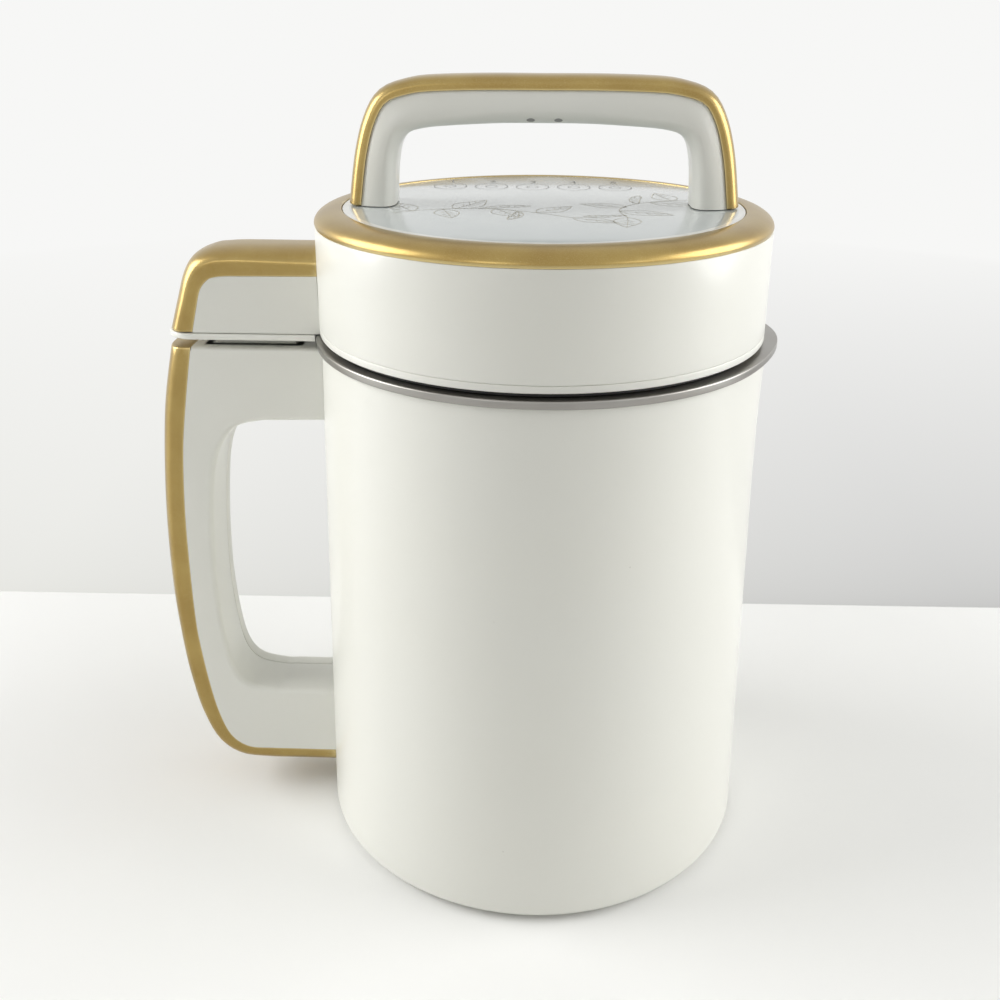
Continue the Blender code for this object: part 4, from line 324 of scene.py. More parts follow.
PATCH_GRAINS = 22     # grains across a patch of the second colour
RUBBED_LIGHTER = 1.5
for name, (colour, second, metallic, roughness, grain, depth) in PLAIN_FINISHES.items():
    finish = Finish(name, Metallic=metallic)
    fine = noise(finish, grain)
    patches = finish.clamp(noise(finish, grain / PATCH_GRAINS), 0.35, 0.7)
    wear, tone = edge_wear_and_highlight(finish) * 0.25, finish.mix(patches, colour, second)
    finish.output(
        Base_Color=finish.mix(wear, tone, tuple(min(1, c * RUBBED_LIGHTER) for c in colour)),
        Roughness=fine * 0.14 + (roughness - 0.05),
        Normal=bumps(finish, fine, depth, 0.6),
    )
print("finishes:", ", ".join(sorted(finishes)))

# %% [markdown]
# The frame's nodes come in with the slot's name on each material. The inner parts keep their
# mesh, so it is enough to swap the material in each slot for the finish of the same name.

# %% Dress the frame's own nodes
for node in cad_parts.values():
    for slot in node.material_slots:
        slot.material = finishes[slot.material.name.split(".")[0]]
print("dressed", len(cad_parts), "nodes")

# %% [markdown]
# ## Ways to make the outside
# Three kinds of shape make up nearly all of it. Round pieces are a profile spun about the jug's
# axis. The gold strips are one section swept along two curves at once, the crest and the seam
# below it. The white handles are outlines lofted across their depth, with a rounding that grows
# in from each face. Each helper hands its piece over with its finish, the body that it moves
# with, and the frame's node that it stands for.

# %% Hand a mesh over as a piece
SMOOTH_BELOW = math.radians(32)
MERGE_WITHIN = 0.000002


def finished_piece(name, mesh, finish, body, *stands_for):
    """Link a mesh as a piece: smooth where it curves, sharp where it turns a corner."""
    mesh.polygons.foreach_set("use_smooth", [True] * len(mesh.polygons))
    mesh.set_sharp_from_angle(angle=SMOOTH_BELOW)
    mesh.materials.clear()
    mesh.materials.append(finishes[finish])
    piece = bpy.data.objects.new(name, mesh)
    add_to_scene(piece)
    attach(piece, body)
    if stands_for:
        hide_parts(*stands_for)
    print(f"{name}: {len(mesh.polygons)} faces on {body}")


def mesh_of(name, shape):
    """Close a bmesh off as a mesh, its faces pointing outwards."""
    bmesh.ops.remove_doubles(shape, verts=shape.verts, dist=MERGE_WITHIN)
    bmesh.ops.recalc_face_normals(shape, faces=shape.faces)
    if shape.calc_volume(signed=True) < 0:
        bmesh.ops.reverse_faces(shape, faces=shape.faces)
    mesh = bpy.data.meshes.new(name)
    shape.to_mesh(mesh)
    shape.free()
    return mesh


# %% [markdown]
# Opposite the handle the cup's rim stands out in a small pouring nose, and the shell's top leans
# out under it. So a spun profile may carry a third number for each point: how much of the nose's
# reach is added to its radius at that angle. Points without one stay round.

# %% Spin a profile, with or without the pouring nose
ROUND_STEPS = 192
LIP_REACH = 0.0041
LIP_NOSE = 0.75
LIP_NOSE_POWER = 24


def lip_swell(angle):
    """How far the rim stands out at an angle: a soft swell round the front, and a nose at +X."""
    facing = max(math.cos(angle), 0.0)
    return LIP_REACH * (LIP_NOSE * facing ** LIP_NOSE_POWER + (1 - LIP_NOSE) * facing)


def spun_mesh(name, profile, place=(axis_x, 0.0), steps=ROUND_STEPS):
    """A closed profile of (radius, height) or (radius, height, share of the swell) points, spun."""
    x, y = place
    shape = bmesh.new()
    rings = []
    for radius, height, *share in profile:
        if radius == 0:
            rings.append([shape.verts.new((x, y, height))] * steps)
            continue
        ring = []
        for step in range(steps):
            angle = 2 * math.pi * step / steps
            reach = radius + (share[0] * lip_swell(angle) if share else 0.0)
            place = (x + reach * math.cos(angle), y + reach * math.sin(angle), height)
            ring.append(shape.verts.new(place))
        rings.append(ring)
    for lower, upper in zip(rings, rings[1:] + rings[:1]):
        for step in range(steps):
            after = (step + 1) % steps
            corners = [lower[step], lower[after], upper[after], upper[step]]
            corners = [c for i, c in enumerate(corners) if c not in corners[:i]]
            if len(corners) > 2:
                shape.faces.new(corners)
    return mesh_of(name, shape)


def spun_piece(name, profile, finish, body, stands_for, **where):
    finished_piece(name, spun_mesh(name, profile, **where), finish, body, stands_for)


print("round pieces take", ROUND_STEPS, "steps round the axis")

# %% Arcs, eased edges and smooth curves
def arc(centre, radius, start, finish, steps):
    """Points on an arc from start to finish, in degrees."""
    run = []
    for step in range(steps + 1):
        angle = math.radians(start + (finish - start) * step / steps)
        run.append((centre[0] + radius * math.cos(angle), centre[1] + radius * math.sin(angle)))
    return run


def eased_top(radius, height, ease, steps=4):
    """The outer edge at the top of a profile, eased: from its flat down to its wall."""
    return arc((radius - ease, height - ease), ease, 90, 0, steps)


def eased_foot(radius, height, ease, steps=4):
    """The same at the foot, from the wall round to the flat."""
    return arc((radius - ease, height + ease), ease, 0, -90, steps)


def smooth_curve(points, steps):
    """A smooth run through the given points, with steps points to a span."""
    run = []
    ends = [points[0]] + list(points) + [points[-1]]
    for index in range(len(points) - 1):
        before, start, finish, after = (Vector(p) for p in ends[index:index + 4])
        for step in range(steps):
            t = step / steps
            blend = (
                2 * start + (finish - before) * t
                + (2 * before - 5 * start + 4 * finish - after) * t ** 2
                + (3 * start - before - 3 * finish + after) * t ** 3
            )
            run.append(tuple(blend / 2))
    run.append(tuple(points[-1]))
    return run


print("curves for profiles are ready")

# %% [markdown]
# ## The jug
# The shell is a drawn tube that narrows a little towards the top, with a rounded foot and a
# ledge inside that carries the base cover. The frame gives its height; the radii are the
# object's own and are repeated here, because the frame only tells the outer box.

# %% Outer shell
shell_low, shell_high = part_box("outer_shell")
SHELL_WALL = 0.0022
SHELL_DRAFT = 0.0061
FOOT_EDGE = 0.0025
TOP_EDGE = 0.0006
LEDGE = 0.0053
SHELL_SWELL = [(1.0, 0.70), (0.967, 0.42), (0.915, 0.20), (0.84, 0.07), (0.765, 0.0)]
shell_base = shell_low[2]
shell_top = shell_high[2]
shell_height = shell_top - shell_base
shell_base_radius = half_width((shell_low, shell_high))
shell_top_radius = shell_base_radius - SHELL_DRAFT


def shell_radius(height):
    share = (height - shell_base) / shell_height
    return shell_base_radius + (shell_top_radius - shell_base_radius) * share


swell_curve = smooth_curve(SHELL_SWELL, 4)
leaning = [(shell_base + height * shell_height, share) for height, share in swell_curve]
inner_low = shell_radius(shell_base + SHELL_WALL) - SHELL_WALL
top_share = SHELL_SWELL[0][1]
eased = eased_top(shell_top_radius, shell_top, TOP_EDGE)
profile = [(radius, height, top_share) for radius, height in eased]
profile += [(shell_radius(z), z, share) for z, share in leaning if z < shell_top - TOP_EDGE]
profile += eased_foot(shell_radius(shell_base), shell_base, FOOT_EDGE, 10)
profile += [(inner_low - LEDGE, shell_base), (inner_low - LEDGE, shell_base + SHELL_WALL)]
profile += [(inner_low, shell_base + SHELL_WALL)]
profile += [(shell_radius(height) - SHELL_WALL, height, share) for height, share in leaning[::-1]]
spun_piece("jug_shell", profile, "white_gloss", "jug", "outer_shell")

# %% [markdown]
# The cup hangs in the shell by its rim, which folds over the shell's top edge. That fold is the
# grey line all round the jug: a flat top, a crisp edge, and a hem that hangs straight down.

# %% Steel cup
cup_low, cup_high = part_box("inner_cup")
CUP_WALL = 0.001
CUP_HEM = 0.0027
CUP_CORNER = 0.008
NECK_GAP = 0.0095
CUP_DRAFT = 0.003
RIM_EDGE = 0.00045
FOLD_THICKER = 1.05
CORNER_STEPS = 12
rim_top = cup_high[2]
rim_radius = axis_x - cup_low[0]
neck_radius = shell_top_radius - NECK_GAP
cup_base_radius = neck_radius - CUP_DRAFT
cup_floor = cup_low[2] + CUP_WALL
hem_low = rim_top - CUP_HEM
under_rim = rim_top - CUP_WALL * FOLD_THICKER
corner = (cup_base_radius - CUP_CORNER, cup_floor + CUP_CORNER)
profile = [(0, cup_floor)] + arc(corner, CUP_CORNER, -90, 0, CORNER_STEPS)
profile += [(neck_radius, rim_top - CUP_WALL)]
profile += arc((neck_radius + CUP_WALL, rim_top - CUP_WALL), CUP_WALL, 180, 90, 5)[1:]
fold = eased_top(rim_radius, rim_top, RIM_EDGE) + eased_foot(rim_radius, hem_low, RIM_EDGE, 3)
fold += [(rim_radius - CUP_WALL, hem_low), (rim_radius - CUP_WALL, under_rim)]
profile += [(radius, height, 1.0) for radius, height in fold]
profile += [(neck_radius + 2 * CUP_WALL, under_rim)]
profile += [(neck_radius + CUP_WALL, rim_top - 2 * CUP_WALL)]
profile += arc(corner, CUP_CORNER + CUP_WALL, 0, -90, CORNER_STEPS) + [(0, cup_low[2])]
spun_piece("steel_cup", profile, "brushed_steel", "jug", "inner_cup")

# %% Feet
FOOT_STEM = 0.003
FOOT_ROUNDING = 0.0009
FOOT_STEPS = 48
FIT = 0.0003
CLOSE_FIT = FIT / 3
pad_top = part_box("base_cover")[0][2] - FIT
for number in (1, 2, 3):
    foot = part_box(f"foot_{number}")
    foot_base, stem_top = foot[0][2], foot[1][2]
    radius = half_width(foot)
    profile = [(0, stem_top), (FOOT_STEM, stem_top), (FOOT_STEM, pad_top), (radius, pad_top)]
    profile += eased_foot(radius, foot_base, FOOT_ROUNDING, 5) + [(0, foot_base)]
    where = {"place": middle_of(foot), "steps": FOOT_STEPS}
    spun_piece(f"pad_{number}", profile, "pale_rubber", "jug", f"foot_{number}", **where)

# %% [markdown]
# ## The side handle
# The handle's face is drawn by three curves: the crest on the outside, the seam where gold meets
# white, and the finger opening. Each is a run of points given as shares of the handle's reach
# and height, joined by a smooth curve. The curves shifted inwards make the roundings.

# %% Offsets and shares
def offset_run(run, distance):
    """Move an open run sideways, to its left for a positive distance."""
    moved = []
    for index, point in enumerate(run):
        before = Vector(run[max(index - 1, 0)])
        after = Vector(run[min(index + 1, len(run) - 1)])
        along = (after - before).normalized()
        moved.append((point[0] - along.y * distance, point[1] + along.x * distance))
    return moved


def level_end(run, index, height):
    """Put one end of a run back to the height of the face it stands on."""
    run[index] = (run[index][0], height)
    return run


CURVE_STEPS = 8


def shares_to_run(shares, box, steps=CURVE_STEPS):
    """Shares of a box's height, and of its reach towards -X from the axis, as a smooth run."""
    (left, _, base), (_, _, top) = box
    points = [(axis_x - x * (axis_x - left), base + z * (top - base)) for x, z in shares]
    return smooth_curve(points, steps)


print("curves take", CURVE_STEPS, "steps from one given point to the next")

# %% Loft across the depth
def rounding(edge_y, side_width, crown, steps, inwards):
    """(y, inset) pairs of a rounded edge, from the face at edge_y inwards (+1 or -1 along Y)."""
    pairs = []
    for step in range(steps + 1):
        angle = math.pi / 2 * step / steps
        y = edge_y + inwards * side_width * (1 - math.cos(angle))
        pairs.append((y, crown * (1 - math.sin(angle))))
    return pairs


def skin(shape, places):
    """Add a closed skin through rings of as many places each, with a face at both ends."""
    rings = [[shape.verts.new(place) for place in ring] for ring in places]
    for near, far in zip(rings, rings[1:]):
        for index in range(len(near)):
            after = (index + 1) % len(near)
            shape.faces.new((near[index], near[after], far[after], far[index]))
    shape.faces.new(rings[0][::-1])
    shape.faces.new(rings[-1])


def skin_mesh(name, places):
    shape = bmesh.new()
    skin(shape, places)
    return mesh_of(name, shape)


def loft_mesh(name, sections):
    """A solid through (y, outline) sections of (x, z) points that all have as many points."""
    return skin_mesh(name, [[(x, y, z) for x, z in outline] for y, outline in sections])


def evaluated_mesh(thing):
    """What an object's modifiers, or its text, come to as a mesh."""
    graph = bpy.context.evaluated_depsgraph_get()
    return bpy.data.meshes.new_from_object(thing.evaluated_get(graph))


def cut_mesh(mesh, *tools):
    """Take the tools' meshes away from a mesh, and leave no helper behind."""
    target, *cutters = [bpy.data.objects.new("cut", data) for data in (mesh, *tools)]
    for thing in (target, *cutters):
        add_to_scene(thing)
    for cutter in cutters:
        step = target.modifiers.new("cut", "BOOLEAN")
        step.operation, step.solver, step.object = "DIFFERENCE", "EXACT", cutter
    result = evaluated_mesh(target)
    result.name = mesh.name
    for thing in (target, *cutters):
        bpy.data.objects.remove(thing, do_unlink=True)
    return result


ROUNDING_STEPS = 10
print("roundings take", ROUNDING_STEPS, "steps")

# %% [markdown]
# A gold strip is the same section all along: a narrow flat band at each face, then one long
# rounding over the crest. Shifting the crest inwards for the rounding would fold the surface at
# tight corners, so the sweep pairs each point of the crest with a point of the seam, and every
# section is laid out on the line between the two.

# %% Sweep a strip between its crest and its seam
STRIP_STATIONS = 72
END_ROUNDING = 0.0007
END_STEPS = 4
# A thin row at each foot and one on the flat band keep the gold's edge mask to a narrow line near
# the seam, where it paints a highlight.
EDGE_ROW = 0.0005
BAND_ROW = 0.15


def along_run(run, share):
    """The point at a share of a run's length."""
    lengths = [0.0]
    for first, second in zip(run, run[1:]):
        lengths.append(lengths[-1] + (Vector(second) - Vector(first)).length)
    target = share * lengths[-1]
    for index in range(len(run) - 1):
        if target <= lengths[index + 1] or index == len(run) - 2:
            step = (target - lengths[index]) / (lengths[index + 1] - lengths[index])
            return Vector(run[index]).lerp(Vector(run[index + 1]), step)


def strip_mesh(name, crest, seam, half, side_width, crown, rounded_ends):
    """A strip from seam to crest across the depth. rounded_ends tells which ends are eased."""
    length = sum((Vector(b) - Vector(a)).length for a, b in zip(crest, crest[1:]))
    eased = [math.pi / 2 * step / END_STEPS for step in range(END_STEPS + 1)]
    ease = [(END_ROUNDING * (1 - math.sin(a)), END_ROUNDING * (1 - math.cos(a))) for a in eased]
    stations = [(step / STRIP_STATIONS, 0.0) for step in range(1, STRIP_STATIONS)]
    for rounded, end, sign in zip(rounded_ends, (0, 1), (1, -1)):
        rounds = [(end + sign * place / length, inset) for place, inset in ease]
        stations += rounds if rounded else [(end, 0.0)]
    stations.sort()
    rings = []
    for share, eased_by in stations:
        top, foot = along_run(crest, share), along_run(seam, share)
        down = (foot - top).normalized()
        face = half - eased_by
        pairs = rounding(-face, side_width, crown, ROUNDING_STEPS, 1)
        pairs += rounding(face, side_width, crown, ROUNDING_STEPS, -1)[::-1]
        over = [(y, top + down * (inset + eased_by)) for y, inset in pairs]
        band = [over[0][1].lerp(foot, BAND_ROW), foot - down * EDGE_ROW]
        near_band = [(-face, place) for place in band]
        far_band = [(face, place) for place in band[::-1]]
        places = [(-face, foot)] + near_band[::-1] + over + far_band[::-1] + [(face, foot)]
        rings.append([(place.x, y, place.y) for y, place in places])
    return skin_mesh(name, rings)


print("sweeping is ready")

# %% [markdown]
# The handle's strip runs over the spine and turns under its foot. Near the jug it follows the
# shell, so a cone just outside the shell is cut from it.

# %% Gold strip of the handle
handle_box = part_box("handle_trim")
handle_bottom = handle_box[0][2]
handle_half, handle_top = handle_box[1][1:]
HANDLE_CREST = [
    (0.921, 1.0), (0.961, 0.857), (0.990, 0.654), (1.0, 0.458), (0.9925, 0.297),
    (0.979, 0.199), (0.9595, 0.121), (0.922, 0.048), (0.861, 0.0085), (0.777, 0.0),
    (0.70, 0.0), (0.60, 0.0), (0.5, 0.0),
]
HANDLE_SEAM = [
    (0.8605, 1.0), (0.888, 0.891), (0.911, 0.783), (0.927, 0.647), (0.9345, 0.504),
    (0.9365, 0.380), (0.9325, 0.315), (0.921, 0.224), (0.904, 0.141), (0.876, 0.0765),
    (0.828, 0.0455), (0.76, 0.042), (0.70, 0.042), (0.60, 0.042), (0.5, 0.042),
]
TRIM_SIDE = 0.009
TRIM_CROWN = 0.0052
CONE_OVERRUN = 0.01
crest = shares_to_run(HANDLE_CREST, handle_box)
seam = shares_to_run(HANDLE_SEAM, handle_box)


def shell_cone(name, radius_at, low, high, margin=FIT):
    """A solid that follows a round wall at a margin, to fit a piece against it."""
    wall = [(radius_at(high) + margin, high), (radius_at(low) + margin, low)]
    return spun_mesh(name, [(0, high), *wall, (0, low)])


def against_shell(mesh, margin=FIT):
    """Cut a piece of the handle so that it follows the shell."""
    low, high = handle_bottom - CONE_OVERRUN, handle_top + CONE_OVERRUN
    return cut_mesh(mesh, shell_cone("cone", shell_radius, low, high, margin))


strip = strip_mesh("handle_strip", crest, seam, handle_half, TRIM_SIDE, TRIM_CROWN, (True, False))
finished_piece("handle_strip", against_shell(strip), "gold_paint", "jug", "handle_trim")

# %% [markdown]
# The white body is two mouldings that meet towards the rear, where the parting line shows inside
# the finger opening. Both are lofts of the same outline, with a small rounding at the outer face
# and a softer one along the top edge.

# %% White halves of the handle
HANDLE_OPENING = [
    (0.5, 0.8516), (0.60, 0.850), (0.665, 0.8487), (0.7075, 0.8472), (0.769, 0.8338),
    (0.812, 0.7916), (0.839, 0.7271), (0.858, 0.6044), (0.867, 0.4587), (0.8605, 0.340),
    (0.8435, 0.259), (0.806, 0.2185), (0.735, 0.2051), (0.69, 0.2051), (0.60, 0.2051),
    (0.5, 0.2051),
]
HANDLE_EDGE = 0.0022
SPLIT_EDGE = 0.0004
TOP_EDGE_SHARE = 0.45
SPLIT_STEPS = 3
opening = shares_to_run(HANDLE_OPENING, handle_box)
outer = offset_run(seam, CLOSE_FIT)
handle_split = (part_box("handle_front")[1][1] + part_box("handle_back")[0][1]) / 2


def handle_outline(inset):
    top = handle_top - inset * TOP_EDGE_SHARE
    inner = offset_run(opening, -inset)[::-1]
    return level_end(list(outer), 0, top) + inner + [(opening[0][0], top)]


for side, sign in (("front", -1), ("back", 1)):
    face_y, split_y = sign * handle_half, handle_split + sign * FIT / 2
    sections = rounding(face_y, HANDLE_EDGE, HANDLE_EDGE, ROUNDING_STEPS, -sign)
    sections += rounding(split_y, SPLIT_EDGE, SPLIT_EDGE, SPLIT_STEPS, sign)[::-1]
    name = f"handle_{side}_half"
    half = loft_mesh(name, [(y, handle_outline(inset)) for y, inset in sections])
    half = against_shell(half, CLOSE_FIT)
    finished_piece(name, half, "white_gloss", "jug", f"handle_{side}")

# %% [markdown]
# ## The head
# The head closes the jug. Its lowest visible part is a flange, with a spigot below it that
# centres it in the cup and a black ring that seals on the rim. The drum above holds the motor.

# %% Flange, spigot and motor well
FLANGE = 0.0025
SPIGOT_GAP = 0.0012
SPIGOT_WALL = 0.0024
SPIGOT_DEPTH = 0.011
WELL_INSET = 0.0245
WELL_WALL = 0.0022
WELL_DEPTH = 0.006
DRUM_OVERHANG = 0.0099
FLANGE_EDGE = 0.0004
seal_base, seal_top = seal_box[0][2], seal_box[1][2]
flange_base = seal_top + FIT
flange_top = flange_base + FLANGE
drum_radius_low = neck_radius + DRUM_OVERHANG
spigot = neck_radius - SPIGOT_GAP
spigot_low = rim_top - SPIGOT_DEPTH
well = neck_radius - WELL_INSET
well_low = flange_base - WELL_DEPTH
profile = [(well, flange_top)] + eased_top(drum_radius_low, flange_top, FLANGE_EDGE)
profile += eased_foot(drum_radius_low, flange_base, FLANGE_EDGE)
profile += [(spigot, flange_base), (spigot, spigot_low), (spigot - SPIGOT_WALL, spigot_low)]
profile += [(spigot - SPIGOT_WALL, flange_base), (well + WELL_WALL, flange_base)]
profile += [(well + WELL_WALL, well_low), (well, well_low)]
spun_piece("head_flange", profile, "white_gloss", "head", "head_base")

SEAL_EDGE = 0.0005
profile = [(spigot + FIT, seal_top)] + eased_top(half_width(seal_box), seal_top, SEAL_EDGE)
profile += [(half_width(seal_box), seal_base), (spigot + FIT, seal_base)]
spun_piece("seal", profile, "dark_rubber", "head", "seal_ring")

# %% [markdown]
# With the head lifted, the steel can round the motor comes into sight, with the tube round the
# shaft and two sensing rods. These are drawn and turned parts too. They are spun again from the
# frame's sizes, with the corners eased as drawn steel has them.

# %% Motor can and shaft tube
CAN_FLANGE = 0.0042
CAN_SLOPE = 0.010
CAN_NOSE_INSET = 0.0125
CAN_EASE = 0.004


def eased_corner(before, corner, after, ease, steps=8):
    """A corner turned into a curve that starts and ends at a distance of ease from it."""
    before, corner, after = Vector(before), Vector(corner), Vector(after)
    start = corner + (before - corner).normalized() * ease
    end = corner + (after - corner).normalized() * ease
    curve = []
    for step in range(steps + 1):
        t = step / steps
        curve.append(tuple(start * (1 - t) ** 2 + corner * 2 * t * (1 - t) + end * t ** 2))
    return curve


can_low, can_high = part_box("lower_cover")
tube_low, tube_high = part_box("shaft_tube")
TUBE_RADIUS = 0.0095
TUBE_WALL = 0.001
can_top, can_bottom = can_high[2], can_low[2]
can_flange = half_width((can_low, can_high))
can = can_flange - CAN_FLANGE
nose = (can - CAN_NOSE_INSET, can_bottom)
bore = TUBE_RADIUS + FIT
shoulder = (can, can_bottom + CAN_SLOPE)
neck = (can, can_top - TUBE_WALL)
inner_shoulder = (can - TUBE_WALL, shoulder[1] + TUBE_WALL / 2)
profile = [(can - TUBE_WALL, can_top), (can_flange, can_top), (can_flange, neck[1])]
profile += eased_corner((can_flange, neck[1]), neck, shoulder, CAN_EASE / 4)
profile += eased_corner(neck, shoulder, nose, CAN_EASE)
profile += eased_corner(shoulder, nose, (bore, can_bottom), CAN_EASE)
profile += [(bore, can_bottom), (bore, can_bottom + TUBE_WALL), (nose[0], can_bottom + TUBE_WALL)]
profile.append(inner_shoulder)
spun_piece("motor_can", profile, "brushed_steel", "head", "lower_cover")

tube_flange = half_width((tube_low, tube_high))
tube_step = tube_high[2] - TUBE_WALL
tube_bore = TUBE_RADIUS - TUBE_WALL
profile = [(tube_bore, tube_high[2]), (tube_flange, tube_high[2]), (tube_flange, tube_step)]
profile += [(TUBE_RADIUS, tube_step), (TUBE_RADIUS, tube_low[2]), (tube_bore, tube_low[2])]
spun_piece("tube", profile, "brushed_steel", "head", "shaft_tube")

# %% Sensing rods
ROD_HEAD = 0.003
ROD_STEPS = 40
ROD_RADII = {"temperature_probe": 0.0028, "overflow_electrode": 0.0022}
for name, radius in ROD_RADII.items():
    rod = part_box(name)
    tip, top, head_radius = rod[0][2], rod[1][2], half_width(rod)
    profile = [(0, top), (head_radius, top)]
    profile += [(head_radius, top - ROD_HEAD), (radius, top - ROD_HEAD)]
    profile += arc((0, tip + radius), radius, 0, -90, 8)[:-1] + [(0, tip)]
    where = {"place": middle_of(rod), "steps": ROD_STEPS}
    spun_piece(f"rod_{name}", profile, "brushed_steel", "head", name, **where)

# %% [markdown]
# The drum is a thin tube with a deck on top that carries the panel. It sits close on the flange,
# with only a hair line between them, and the ring lies on its rim.

# %% Drum
ring_low, ring_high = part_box("gold_ring")
DRUM_DRAFT = 0.00054
DRUM_WALL = 0.0024
DRUM_EDGE = 0.0003
DECK = 0.0014
DECK_HOLE_RADIUS = 0.048
HAIR_LINE = 0.00006
drum_base = flange_top + HAIR_LINE
drum_top = ring_low[2] - HAIR_LINE
deck_top = panel_base - FIT
drum_radius_top = drum_radius_low - DRUM_DRAFT


def drum_radius(height):
    share = (height - drum_base) / (drum_top - drum_base)
    return drum_radius_low + (drum_radius_top - drum_radius_low) * share


profile = [(DECK_HOLE_RADIUS, deck_top), (panel_radius, deck_top), (panel_radius, drum_top)]
profile += eased_top(drum_radius_top, drum_top, DRUM_EDGE, 3)
profile += eased_foot(drum_radius_low, drum_base, DRUM_EDGE, 3)
profile += [(drum_radius_low - DRUM_WALL, drum_base)]
profile += [(drum_radius_top - DRUM_WALL, drum_top - DECK), (DECK_HOLE_RADIUS, drum_top - DECK)]
spun_piece("drum", profile, "white_gloss", "head", "head_shell")

# %% [markdown]
# The ring is a quarter-round. Its inner edge lies level with the panel, and from there it rolls
# outwards and down to the drum in one curve.

# %% Gold ring
RING_FOOT = 0.0009
RING_SHOULDER = 0.0010
RING_LIP = 0.0003
RING_STEPS = 28
ring_inner = panel_radius + RING_LIP / 2
ring_outer = half_width((ring_low, ring_high))
ring_foot = ring_low[2] + RING_FOOT
ring_rise = ring_high[2] - ring_foot
shoulder = ring_inner + RING_SHOULDER
profile = [(ring_inner, ring_low[2])]
profile += arc((ring_inner + RING_LIP, ring_high[2] - RING_LIP), RING_LIP, 180, 90, 3)
for x, y in arc((0, 0), 1.0, 90, 0, RING_STEPS):
    profile.append((shoulder + x * (ring_outer - shoulder), ring_foot + y * ring_rise))
profile += [(ring_outer - RING_LIP, ring_low[2])]
spun_piece("ring", profile, "gold_paint", "head", "gold_ring")

# %% Touch panel
PANEL_EDGE = 0.00045
profile = [(0, panel_top)] + eased_top(panel_radius, panel_top, PANEL_EDGE)
profile += [(panel_radius, panel_base), (0, panel_base)]
spun_piece("panel", profile, "panel_print", "head", "touch_panel")

# %% [markdown]
# The panel's print is line work: five touch keys in a row at the back with plain numbers, and
# sprigs of leaves and pods across the front. Each line is a flat ribbon of ink a hair above the
# panel, drawn through a few points. The numbers come from the built-in font, turned to a mesh.

# %% Lines of ink
INK_WIDTH = 0.00028
THIN, FINE = 0.7, 0.6   # for midribs and beans, and for veins
INK_LIFT = 0.00004
ink_z = panel_top + INK_LIFT


def ribbon(shape, run, width=INK_WIDTH, closed=False):
    """Add a flat line through (x, y) points, measured from the panel's middle."""
    count = len(run)
    sides = []
    for index, point in enumerate(run):
        before = Vector(run[index - 1] if closed or index else point)
        after = Vector(run[(index + 1) % count] if closed or index < count - 1 else point)
        along = (after - before).normalized()
        off = Vector((-along.y, along.x)) * width / 2
        pair = (Vector(point) + off, Vector(point) - off)
        sides.append([shape.verts.new((axis_x + side.x, side.y, ink_z)) for side in pair])
    ends = sides[1:] + sides[:1] if closed else sides[1:]
    for (left, right), (next_left, next_right) in zip(sides, ends):
        shape.faces.new((left, right, next_right, next_left))


def oval(x, y, half_x, half_y, steps=40):
    return [(x + half_x * a, y + half_y * b) for a, b in arc((0, 0), 1.0, 0, 360, steps)[:-1]]


def turned_points(points, x, y, degrees, size):
    """Points scaled, turned and moved to a place."""
    turn = math.radians(degrees)
    c, s = math.cos(turn) * size, math.sin(turn) * size
    return [(x + px * c - py * s, y + px * s + py * c) for px, py in points]


print("ink lies at", round(ink_z, 5), "m")

# %% Leaves and pods
LEAF_SIDE = [(0, 0), (0.18, 0.17), (0.42, 0.25), (0.70, 0.16), (1.0, 0)]
VEIN_STARTS = (0.28, 0.48, 0.66)


def leaf(shape, x, y, degrees, size):
    """A pointed leaf: two sides, a midrib and three pairs of veins."""
    upper = smooth_curve(LEAF_SIDE, 6)
    lower = [(px, -py) for px, py in upper]
    for run in (upper, lower):
        ribbon(shape, turned_points(run, x, y, degrees, size))
    midrib = [(0, 0), (0.5, 0.01), (0.94, 0)]
    ribbon(shape, turned_points(midrib, x, y, degrees, size), INK_WIDTH * THIN)
    for start in VEIN_STARTS:
        for side in (-1, 1):
            vein = [(start, 0), (start + 0.08, side * 0.07), (start + 0.17, side * 0.12)]
            ribbon(shape, turned_points(vein, x, y, degrees, size), INK_WIDTH * FINE)


def pod(shape, x, y, degrees, size):
    """A curved pod with three beans."""
    back = smooth_curve([(0, 0), (0.25, 0.13), (0.55, 0.17), (0.85, 0.10), (1.0, -0.02)], 5)
    front = smooth_curve([(0, 0), (0.2, -0.05), (0.5, -0.04), (0.8, -0.07), (1.0, -0.02)], 5)
    for run in (back, front):
        ribbon(shape, turned_points(run, x, y, degrees, size))
    for bean_x, bean_y in ((0.25, 0.035), (0.52, 0.065), (0.78, 0.015)):
        bean = oval(bean_x, bean_y, 0.095, 0.065, 16)
        ribbon(shape, turned_points(bean, x, y, degrees, size), INK_WIDTH * THIN, True)


def sprig(shape, stem, leaves, pods):
    """A stem through (x, y) points; leaves and pods at (x, y, degrees, size). In millimetres."""
    ribbon(shape, smooth_curve([(x / 1000, y / 1000) for x, y in stem], 8))
    for draw, places in ((leaf, leaves), (pod, pods)):
        for x, y, degrees, size in places:
            draw(shape, x / 1000, y / 1000, degrees, size / 1000)


def printed(name, shape, finish):
    """Turn the flat faces of a print upwards and hand it over."""
    for face in shape.faces:
        face.normal_update()
        if face.normal.z < 0:
            face.normal_flip()
    mesh = bpy.data.meshes.new(name)
    shape.to_mesh(mesh)
    shape.free()
    finished_piece(name, mesh, finish, "head")


print("a leaf has", 2 * len(VEIN_STARTS), "veins")

# %% The panel's print
KEY_PITCH = 0.0158
KEY_FIRST_X = -0.0357
KEY_Y = 0.0405
KEY_HALF_X = 0.0062
KEY_HALF_Y = 0.0078
KEY_MARK = 0.35
LABEL_Y = 0.0535
LABEL_SIZE = 0.0062

